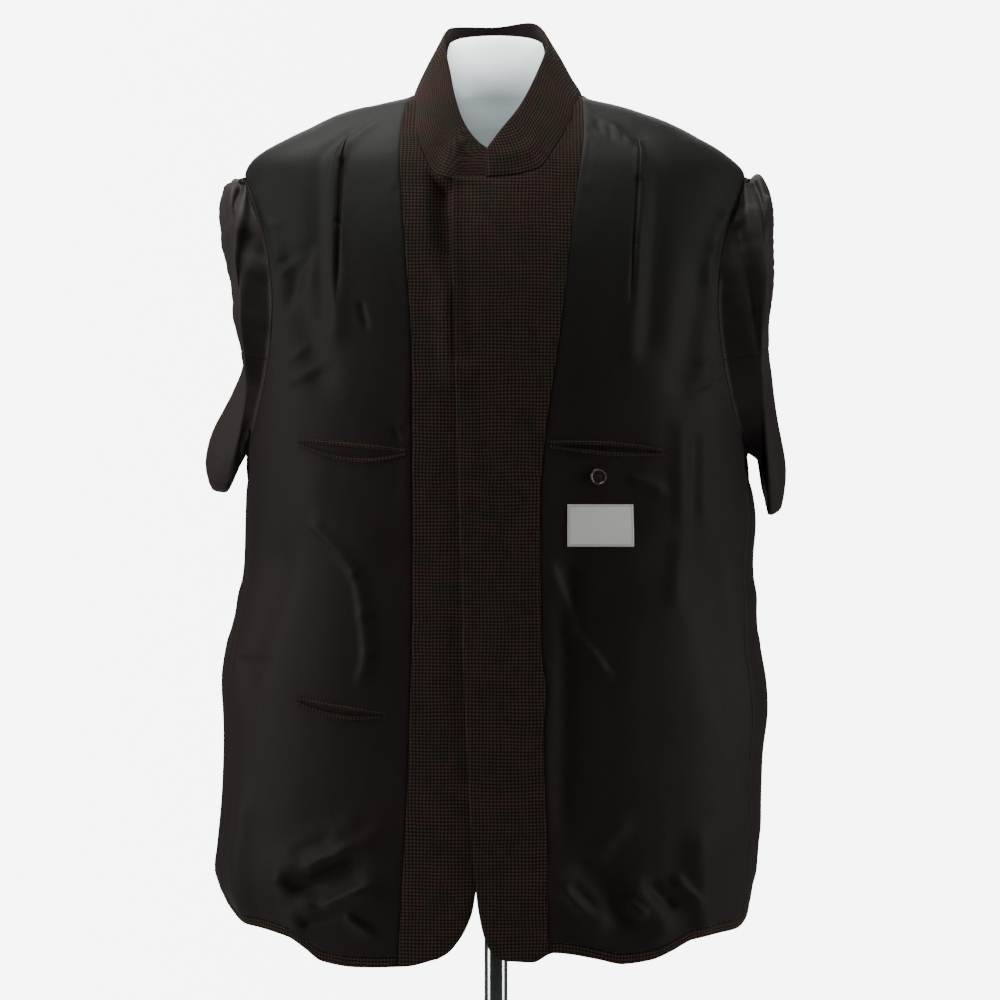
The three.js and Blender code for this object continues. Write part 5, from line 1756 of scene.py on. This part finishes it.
def math_node(
    tree: NodeTree, operation: str, a: NodeSocket | float, b: NodeSocket | float = 0.0
) -> NodeSocket:
    """Returns the result of an operation on two values or sockets."""
    node = add_node(tree, "ShaderNodeMath", settings={"operation": operation}, i0=a, i1=b)
    return node.outputs[0]


def colour_mix(
    tree: NodeTree, share: NodeSocket, a: NodeSocket | tuple, b: NodeSocket | tuple
) -> NodeSocket:
    """Returns a mix of two colours or colour sockets."""
    node = add_node(tree, "ShaderNodeMix", settings={"data_type": "RGBA"}, i0=share, i6=a, i7=b)
    return node.outputs[2]


def noise(tree: NodeTree, vector: NodeSocket, size_mm: float, detail: float = 2.0) -> NodeSocket:
    """Returns noise with features of about a size in mm, over object places."""
    scale = 1000 / size_mm
    made = add_node(tree, "ShaderNodeTexNoise", Vector=vector, Scale=scale, Detail=detail)
    return made.outputs[0]


def ramp(tree: NodeTree, value: NodeSocket, low: float, high: float) -> NodeSocket:
    """Returns a value stretched so that low is 0 and high is 1."""
    clamp = {"clamp": True}
    made = add_node(tree, "ShaderNodeMapRange", settings=clamp, Value=value, i1=low, i2=high)
    return made.outputs[0]


def object_places(tree: NodeTree) -> NodeSocket:
    """Returns the object coordinates, in metres."""
    return add_node(tree, "ShaderNodeTexCoord").outputs["Object"]


def cloth_places(tree: NodeTree, step_mm: float) -> tuple[NodeSocket, NodeSocket]:
    """Returns the place on the flat cloth in steps, across and down."""
    flat = add_node(tree, "ShaderNodeUVMap", settings={"uv_map": "cloth"}).outputs[0]
    scale = {"operation": "SCALE"}
    scaled = add_node(tree, "ShaderNodeVectorMath", settings=scale, Vector=flat, Scale=1 / step_mm)
    split = add_node(tree, "ShaderNodeSeparateXYZ", Vector=scaled.outputs[0])
    return split.outputs[0], split.outputs[1]


def surface(
    tree: NodeTree, colour: NodeSocket, bump: NodeSocket | None, depth_mm: float, **inputs
) -> None:
    """Ends a material in one surface shader.

    Args:
        tree: The material's tree.
        colour: Colour socket.
        bump: Height from 0 to 1, if it has one.
        depth_mm: What a height of 1 stands for.
        inputs: Other inputs of the shader.
    """
    if bump is not None:
        depth = depth_mm * MM
        raised = add_node(tree, "ShaderNodeBump", Height=bump, Distance=depth, Strength=1.0)
        inputs["Normal"] = raised.outputs[0]
    shader = add_node(tree, "ShaderNodeBsdfPrincipled", Base_Color=colour, **inputs)
    add_node(tree, "ShaderNodeOutputMaterial", Surface=shader.outputs[0])


@dataclass(frozen=True)
class Satin:
    """Satin lining: dark warm cloth with a cool sheen, and a cool paler tone painted on its upper
    part as the top light's sheen.
    """

    name: str
    colour: str = "#150f0d"
    pale: str = "#1c1412"
    # upper: painted sheen of the top light on the shoulders
    upper: str = "#171815"
    reverse: str = "#16110e"
    roughness: float = 0.6

    def build(self) -> Material:
        """Makes the material."""
        material, tree = new_material(self.name)
        place = object_places(tree)
        patches = ramp(tree, noise(tree, place, 160, 1), 0.35, 0.65)
        tone = colour_mix(tree, patches, linear(self.colour), linear(self.pale))
        split = add_node(tree, "ShaderNodeSeparateXYZ", Vector=place)
        # Painted sheen: from 1.2 m up the tone turns to upper, the top light's cool sheen on the
        # shoulders painted into the colour
        tone = colour_mix(tree, ramp(tree, split.outputs[2], 1.2, 1.4), tone, linear(self.upper))
        behind = add_node(tree, "ShaderNodeNewGeometry").outputs["Backfacing"]
        tone = colour_mix(tree, behind, tone, linear(self.reverse))
        across, down = cloth_places(tree, 1.0)
        along = math_node(tree, "MULTIPLY", down, 0.08)
        streak = add_node(tree, "ShaderNodeCombineXYZ", X=across, Y=along).outputs[0]
        thread = add_node(tree, "ShaderNodeTexNoise", Vector=streak, Scale=1.4, Detail=3.0)
        slub = math_node(tree, "MULTIPLY", thread.outputs[0], 0.35)
        height = math_node(tree, "ADD", slub, noise(tree, place, 5, 2))
        surface(
            tree,
            tone,
            height,
            0.12,
            Roughness=self.roughness,
            Specular_IOR_Level=0.13,
            Sheen_Weight=0.02,
            Sheen_Roughness=0.4,
            Sheen_Tint=linear("#b8b8a8"),
            Anisotropic=0.2,
        )
        return material


@dataclass(frozen=True)
class CheckWool:
    """Small four-thread check in wool, its pale cells in uneven patches."""

    name: str
    repeat_mm: float = 3.2
    dark: str = "#050303"
    warm: str = "#3f2e28"
    olive: str = "#332f24"

    def build(self) -> Material:
        """Makes the material."""
        material, tree = new_material(self.name)
        across, down = cloth_places(tree, self.repeat_mm)
        place = object_places(tree)
        across = math_node(tree, "ADD", across, noise(tree, place, 34, 1))
        down = math_node(tree, "ADD", down, noise(tree, place, 42, 1))
        warp = math_node(tree, "LESS_THAN", math_node(tree, "FRACT", across), 0.5)
        weft = math_node(tree, "LESS_THAN", math_node(tree, "FRACT", down), 0.5)
        both = math_node(tree, "FRACT", math_node(tree, "ADD", across, down))
        over = math_node(tree, "LESS_THAN", both, 0.5)
        kind = {"data_type": "FLOAT"}
        pale = add_node(tree, "ShaderNodeMix", settings=kind, i0=over, i2=weft, i3=warp).outputs[0]
        patches = ramp(tree, noise(tree, place, 24, 1), 0.4, 0.6)
        yarn = noise(tree, place, 2.4, 3)
        light = colour_mix(tree, patches, linear(self.warm), linear(self.olive))
        uneven = math_node(tree, "MULTIPLY", noise(tree, place, 9, 2), 1.1)
        shade = math_node(tree, "ADD", 0.45, uneven)
        pale = math_node(tree, "MULTIPLY", pale, shade)
        tone = colour_mix(tree, pale, linear(self.dark), light)
        worn = colour_mix(tree, math_node(tree, "MULTIPLY", yarn, 0.2), tone, linear(self.warm))
        height = math_node(tree, "ADD", yarn, math_node(tree, "MULTIPLY", pale, 0.25))
        surface(
            tree,
            worn,
            height,
            0.35,
            Roughness=0.92,
            Specular_IOR_Level=0.1,
            Sheen_Weight=0.05,
            Sheen_Roughness=0.5,
            Sheen_Tint=linear("#8b7a70"),
        )
        return material


@dataclass(frozen=True)
class Plain:
    """Plain finish with a fine grain, which mixes in a share of another colour.

    Its coat is a clear one, and its sheen the fuzz on cloth.
    """

    name: str
    colour: str
    roughness: float
    grain_mm: float
    grain_depth_mm: float
    other: str
    share: float = 0.3
    metallic: float = 0.0
    coat: float = 0.0
    specular: float = 0.5
    sheen: float = 0.0

    def build(self) -> Material:
        """Makes the material."""
        material, tree = new_material(self.name)
        grain = noise(tree, object_places(tree), self.grain_mm, 3)
        amount = math_node(tree, "MULTIPLY", ramp(tree, grain, 0.3, 0.7), self.share)
        tone = colour_mix(tree, amount, linear(self.colour), linear(self.other))
        surface(
            tree,
            tone,
            grain if self.grain_depth_mm else None,
            self.grain_depth_mm,
            Roughness=self.roughness,
            Metallic=self.metallic,
            Coat_Weight=self.coat,
            Coat_Roughness=0.08,
            Specular_IOR_Level=self.specular,
            Sheen_Weight=self.sheen,
        )
        return material


@dataclass(frozen=True)
class Shell:
    """Bluish-white shell with painted shade low down and a painted glow, strongest at its crown."""

    name: str
    # low is painted shade under the collar, high the painted light on the crown
    low: str = "#56666a"
    middle: str = "#d6e4e6"
    high: str = "#f7fdfd"

    def build(self) -> Material:
        """Makes the material."""
        material, tree = new_material(self.name)
        split = add_node(tree, "ShaderNodeSeparateXYZ", Vector=object_places(tree))
        # Painted shade: the shell turns darker below 1.53 m, darkest under 1.462 m where the collar
        # shades it
        rise = ramp(tree, split.outputs[2], 1.462, 1.53)
        # Painted light: paler towards the crown, with a painted glow in emission strongest there,
        # though the shell is no lamp
        crown = ramp(tree, split.outputs[2], 1.495, 1.556)
        at_crown = math_node(tree, "MULTIPLY", crown, 1.9)
        painted_glow = math_node(tree, "ADD", at_crown, math_node(tree, "MULTIPLY", rise, 0.34))
        tone = colour_mix(tree, rise, linear(self.low), linear(self.middle))
        tone = colour_mix(tree, crown, tone, linear(self.high))
        light = {"Emission_Color": tone, "Emission_Strength": painted_glow}
        surface(tree, tone, None, 0, Roughness=0.4, Specular_IOR_Level=0.35, **light)
        return material


@dataclass(frozen=True)
class LabelWeave:
    """Pale woven satin with fine ribs and a plain woven border."""

    name: str
    colour: str = "#d3d3d1"
    shade: str = "#bdbdba"
    width: float = 59
    height: float = 38
    border: float = 2.2

    def build(self) -> Material:
        """Makes the material."""
        material, tree = new_material(self.name)
        across, down = cloth_places(tree, 1.0)
        ribs = math_node(tree, "FRACT", math_node(tree, "DIVIDE", down, 0.7))
        right = math_node(tree, "SUBTRACT", self.width, across)
        below = math_node(tree, "SUBTRACT", self.height, down)
        side = math_node(tree, "MINIMUM", across, right)
        end = math_node(tree, "MINIMUM", down, below)
        rim = math_node(tree, "LESS_THAN", math_node(tree, "MINIMUM", side, end), self.border)
        grain = noise(tree, object_places(tree), 3, 3)
        shaded = math_node(tree, "MAXIMUM", rim, math_node(tree, "MULTIPLY", grain, 0.5))
        tone = colour_mix(tree, shaded, linear(self.colour), linear(self.shade))
        height = math_node(tree, "ADD", math_node(tree, "MULTIPLY", ribs, 0.4), rim)
        surface(tree, tone, height, 0.1, Roughness=0.55, Specular_IOR_Level=0.35)
        return material


class Finishes:
    """Every finish in the scene, built once."""

    def __init__(self) -> None:
        self.lining = Satin("satin_lining").build()
        # Painted light: the sleeves' satin is the lining painted lighter to stand in for the light
        # on the sleeves, and its upper tone is painted sheen
        self.sleeve = Satin("sleeve_satin", "#211a19", "#2e2725", "#2a2523").build()
        self.wool = CheckWool("check_wool").build()
        self.felt = Plain(
            "collar_felt", "#120c0a", 0.95, 1.6, 0.3, "#1b1310", sheen=0.03, specular=0.1
        ).build()
        self.horn = Plain(
            "dark_horn", "#231a16", 0.26, 4, 0, "#3b2a22", share=0.6, coat=0.5
        ).build()
        self.label = LabelWeave("woven_satin").build()
        self.shell = Shell("glossy_shell").build()
        self.chrome = Plain("chrome", "#c6cacc", 0.13, 40, 0, "#b9bdc0", metallic=1).build()
        self.thread = Plain("dark_thread", "#1b1513", 0.5, 1, 0, "#2a211e").build()
        self.pale_thread = Plain("pale_thread", "#8d8b86", 0.6, 1, 0, "#a09e99").build()
        self.floor = Plain("pale_floor", "#cdd0cf", 0.6, 500, 0, "#c9cccb", specular=0.2).build()


@dataclass(frozen=True)
class StitchRun:
    """Row of small stitches along a line, made by geometry nodes.

    Attributes:
        name: The piece's name.
        pitch: Distance from one stitch to the next in mm.
        length: Length of a stitch in mm.
        radius: Its radius in mm.
        seed: Seed of its small unevenness.
    """

    name: str
    pitch: float
    length: float
    radius: float
    seed: int = 1

    def tree(self, material: Material) -> tuple[NodeTree, dict[str, str]]:
        """Returns the node group, and its inputs' identifiers by name."""
        tree = bpy.data.node_groups.new(f"{self.name}_run", "GeometryNodeTree")
        face = tree.interface
        face.new_socket("Line", in_out="INPUT", socket_type="NodeSocketGeometry")
        names = {}
        for word in ("Pitch", "Length", "Radius"):
            socket = face.new_socket(word, in_out="INPUT", socket_type="NodeSocketFloat")
            names[word] = socket.identifier
        face.new_socket("Stitches", in_out="OUTPUT", socket_type="NodeSocketGeometry")
        given = add_node(tree, "NodeGroupInput").outputs
        curve = add_node(tree, "GeometryNodeMeshToCurve", Mesh=given["Line"]).outputs[0]
        pitch, thick, mode = given["Pitch"], given["Radius"], {"mode": "LENGTH"}
        kind = "GeometryNodeCurveToPoints"
        points = add_node(tree, kind, settings=mode, Curve=curve, Length=pitch)
        bead = add_node(tree, "GeometryNodeMeshUVSphere", Segments=6, Rings=5, Radius=1.0)
        half = math_node(tree, "MULTIPLY", given["Length"], 0.5)
        size = add_node(tree, "ShaderNodeCombineXYZ", X=thick, Y=thick, Z=half).outputs[0]
        uneven = add_node(
            tree,
            "FunctionNodeRandomValue",
            settings={"data_type": "FLOAT_VECTOR"},
            i0=(0.9, 0.9, 0.8),
            i1=(1.1, 1.1, 1.15),
            Seed=self.seed,
        ).outputs[0]
        multiply = {"operation": "MULTIPLY"}
        scale = add_node(tree, "ShaderNodeVectorMath", settings=multiply, i0=size, i1=uneven)
        placed = add_node(
            tree,
            "GeometryNodeInstanceOnPoints",
            Points=points.outputs["Points"],
            Instance=bead.outputs[0],
            Rotation=points.outputs["Rotation"],
            Scale=scale.outputs[0],
        )
        real = add_node(tree, "GeometryNodeRealizeInstances", Geometry=placed.outputs[0])
        inputs = {"Geometry": real.outputs[0], "Material": material}
        finished = add_node(tree, "GeometryNodeSetMaterial", **inputs)
        add_node(tree, "NodeGroupOutput", Stitches=finished.outputs[0])
        return tree, names

    def build(self, lines: Sequence[Array], material: Material, slot: str) -> Object:
        """Makes the stitches along lines in mm, as one plain mesh."""
        points = np.concatenate(lines) * MM
        edges, start = [], 0
        for line in lines:
            edges += [(start + k, start + k + 1) for k in range(len(line) - 1)]
            start += len(line)
        path = bpy.data.meshes.new(f"{self.name}_line")
        path.from_pydata(points.tolist(), edges, [])
        made = bpy.data.objects.new(self.name, path)
        bpy.context.scene.collection.objects.link(made)
        tree, names = self.tree(material)
        modifier = made.modifiers.new("stitches", "NODES")
        modifier.node_group = tree
        for word, size in (("Pitch", self.pitch), ("Length", self.length), ("Radius", self.radius)):
            modifier[names[word]] = size * MM
        graph = bpy.context.evaluated_depsgraph_get()
        mesh = bpy.data.meshes.new_from_object(made.evaluated_get(graph))
        made.modifiers.remove(modifier)
        made.data = mesh
        mesh.name = self.name
        mesh.polygons.foreach_set("use_smooth", np.ones(len(mesh.polygons), dtype=bool))
        bpy.data.meshes.remove(path)
        return finish_piece(made, material, slot)


@dataclass
class Coat:
    """The whole coat, worn inside out.

    Attributes:
        finishes: The scene's finishes.
        fronts: Both front linings, left first.
    """

    finishes: Finishes
    fronts: tuple[FrontLining, FrontLining] = (
        FrontLining(LEFT_HALF, FRONT_CREASES_LEFT),
        FrontLining(RIGHT_HALF, FRONT_CREASES_RIGHT),
    )

    def half(self, half: HalfCut) -> dict[str, Object]:
        """Makes every cut piece of one half, by kind."""
        left = half.side is Side.LEFT
        lining, wool = self.finishes.lining, self.finishes.wool
        front = self.fronts[0 if left else 1]
        facing = Facing(half, FACING_CREASES_LEFT if left else FACING_CREASES_RIGHT)
        side = SideLining(half, SIDE_CREASES)
        back = BackLining(half, BACK_CREASES_LEFT if left else BACK_CREASES_RIGHT)
        hem = HemTurnup(half)
        folds = SLEEVE_CREASES_LEFT if left else SLEEVE_CREASES_RIGHT
        sleeve = Sleeve(half, folds, loops=SLEEVE_LEFT if left else SLEEVE_RIGHT)
        upper, under = sleeve.build(self.finishes.sleeve)
        made = {
            "front": front.build(lining),
            "facing": facing.build(wool),
            "side": side.build(lining),
            "back": back.build(lining),
            "hem": hem.build(wool),
            "upper": upper,
            "under": under,
        }
        StitchRun(f"hem_slip_stitches_{half.side.word}", 9.0, 2.6, 0.28, 3).build(
            [hem.stitch_line()], self.finishes.thread, "lining"
        )
        StitchRun(f"armhole_stitches_{half.side.word}", 7.0, 2.4, 0.28, 5).build(
            [sleeve.seam_line()], self.finishes.thread, "lining"
        )
        LOG.info("%s half: %s", half.side.word, ", ".join(made))
        return made

    def pockets(self) -> dict[int, list[Object]]:
        """Makes the pocket mouths with their pick stitches, by side."""
        made: dict[int, list[Object]] = {-1: [], 1: []}
        lines = []
        for row in POCKETS:
            sign = -1 if row.x0 < 0 else 1
            pocket = Pocket(self.fronts[0 if sign < 0 else 1], row)
            made[sign] += pocket.build(self.finishes.wool)
            lines += [pocket.line(1, 1.12, 0.35), pocket.line(-1, 1.12, 0.35)]
            LOG.info("pocket %s", row.name)
        run = StitchRun("pocket_stitches", 3.4, 2.0, 0.24, 7)
        run.build(lines, self.finishes.thread, "lining")
        return made

    def build(self) -> list[Object]:
        """Makes the coat, logging its pieces as they are made, and returns its main pieces."""
        left, right = self.half(LEFT_HALF), self.half(RIGHT_HALF)
        Pleat(self.fronts[0], PLEAT_LEFT, near=2.6, far=0.7).build(self.finishes.lining)
        Pleat(self.fronts[1], PLEAT_RIGHT, near=0.7, far=2.4).build(self.finishes.lining)
        lips = self.pockets()
        top, under = Collar(COLLAR_CREASES).build(self.finishes.wool, self.finishes.felt)
        LOG.info("collar")
        label = WovenLabel(self.fronts[1])
        label_piece = label.build(self.finishes.label)
        StitchRun("label_stitches", 2.6, 1.7, 0.2, 9).build(
            [label.stitch_line()], self.finishes.pale_thread, "label"
        )
        button = PocketButton(self.fronts[1]).build(self.finishes.horn, self.finishes.thread)
        LOG.info("label and button")
        return [*left.values(), *right.values(), top, under, label_piece, *button]


def soft_light(name: str, place: Point, size: tuple[float, float], power: float) -> None:
    """Adds a soft area light, in metres, that points at the chest."""
    lamp = bpy.data.lights.new(name, "AREA")
    lamp.shape = "RECTANGLE"
    lamp.size, lamp.size_y = size
    lamp.energy = power
    made = bpy.data.objects.new(name, lamp)
    made.location = place
    aim = Vector(CHEST) - Vector(place)
    made.rotation_euler = aim.to_track_quat("-Z", "Y").to_euler()
    bpy.context.scene.collection.objects.link(made)


@dataclass
class Studio:
    """Pale floor, soft light and the camera at the photo's angle.

    Attributes:
        finishes: The scene's finishes.
        camera: The camera's place.
        lens: Its focal length in mm.
        left: Background at the photo's left.
        right: Background at the photo's right.
        ambient: Strength of the light from all round.
        backdrop: Strength of the backdrop as it is seen.
    """

    finishes: Finishes
    camera: Point = Point(0.0038, -3.0, 1.12)
    lens: float = 113.7
    left: str = "#f5f8f7"
    right: str = "#edefef"
    ambient: float = 0.17
    backdrop: float = 7.8

    def floor(self) -> Object:
        """Makes the floor's disc."""
        rings = [(0.5, 0.0)] + [(float(r), 0.0) for r in np.linspace(200, 3200, 16)]
        disc = turned_object("studio_floor", [(r, z - 0.5) for r, z in rings], 96)
        disc.data.materials.append(self.finishes.floor)
        return disc

    def world(self) -> None:
        """Sets a pale world, dimmer as a light than as a backdrop."""
        world = bpy.data.worlds.new("studio_world")
        world.use_nodes = True
        tree = world.node_tree
        tree.nodes.clear()
        around = add_node(tree, "ShaderNodeTexCoord").outputs["Generated"]
        split = add_node(tree, "ShaderNodeSeparateXYZ", Vector=around)
        share = ramp(tree, split.outputs[0], -0.17, 0.17)
        tone = colour_mix(tree, share, linear(self.left), linear(self.right))
        seen = add_node(tree, "ShaderNodeBackground", Color=tone, Strength=self.backdrop)
        height = ramp(tree, split.outputs[2], -0.4, 1.0)
        sky = colour_mix(tree, height, linear("#8f9391"), linear("#ffffff"))
        behind = ramp(tree, split.outputs[1], -0.9, 0.15)
        sky = colour_mix(tree, behind, linear("#3c3e3d"), sky)
        light = add_node(tree, "ShaderNodeBackground", Color=sky, Strength=self.ambient)
        rays = add_node(tree, "ShaderNodeLightPath").outputs["Is Camera Ray"]
        shaders = {"i1": light.outputs[0], "i2": seen.outputs[0]}
        both = add_node(tree, "ShaderNodeMixShader", i0=rays, **shaders)
        add_node(tree, "ShaderNodeOutputWorld", Surface=both.outputs[0])
        bpy.context.scene.world = world

    def build(self) -> None:
        """Builds the studio."""
        self.world()
        soft_light("top_light", Point(-0.5, 0.0, 3.3), (2.0, 2.0), 90)
        soft_light("left_strip", Point(-2.3, -0.6, 1.4), (0.8, 2.4), 47)
        soft_light("right_strip", Point(2.3, -0.5, 1.4), (0.8, 2.4), 38)
        soft_light("front_fill", Point(0.2, -4.2, 2.2), (2.0, 1.2), 9)
        soft_light("rear_light", Point(0.0, 2.6, 2.2), (1.8, 1.6), 40)
        view = bpy.data.cameras.new("photo_camera")
        view.lens = self.lens
        view.sensor_width = 36
        made = bpy.data.objects.new("photo_camera", view)
        made.location = self.camera
        made.rotation_euler = (math.pi / 2, 0, 0)
        bpy.context.scene.collection.objects.link(made)
        bpy.context.scene.camera = made
        self.floor()


def main() -> None:
    """Builds the whole scene."""
    logging.basicConfig(level=logging.INFO, format="%(message)s")
    finishes = Finishes()
    DressForm(FORM).build(finishes.shell)
    LOG.info("dress form")
    Stand().build(finishes.chrome)
    LOG.info("stand")
    pieces = Coat(finishes).build()
    LOG.info("coat: %d main pieces", len(pieces))
    Studio(finishes).build()
    LOG.info("studio")


if __name__ == "__main__":
    main()
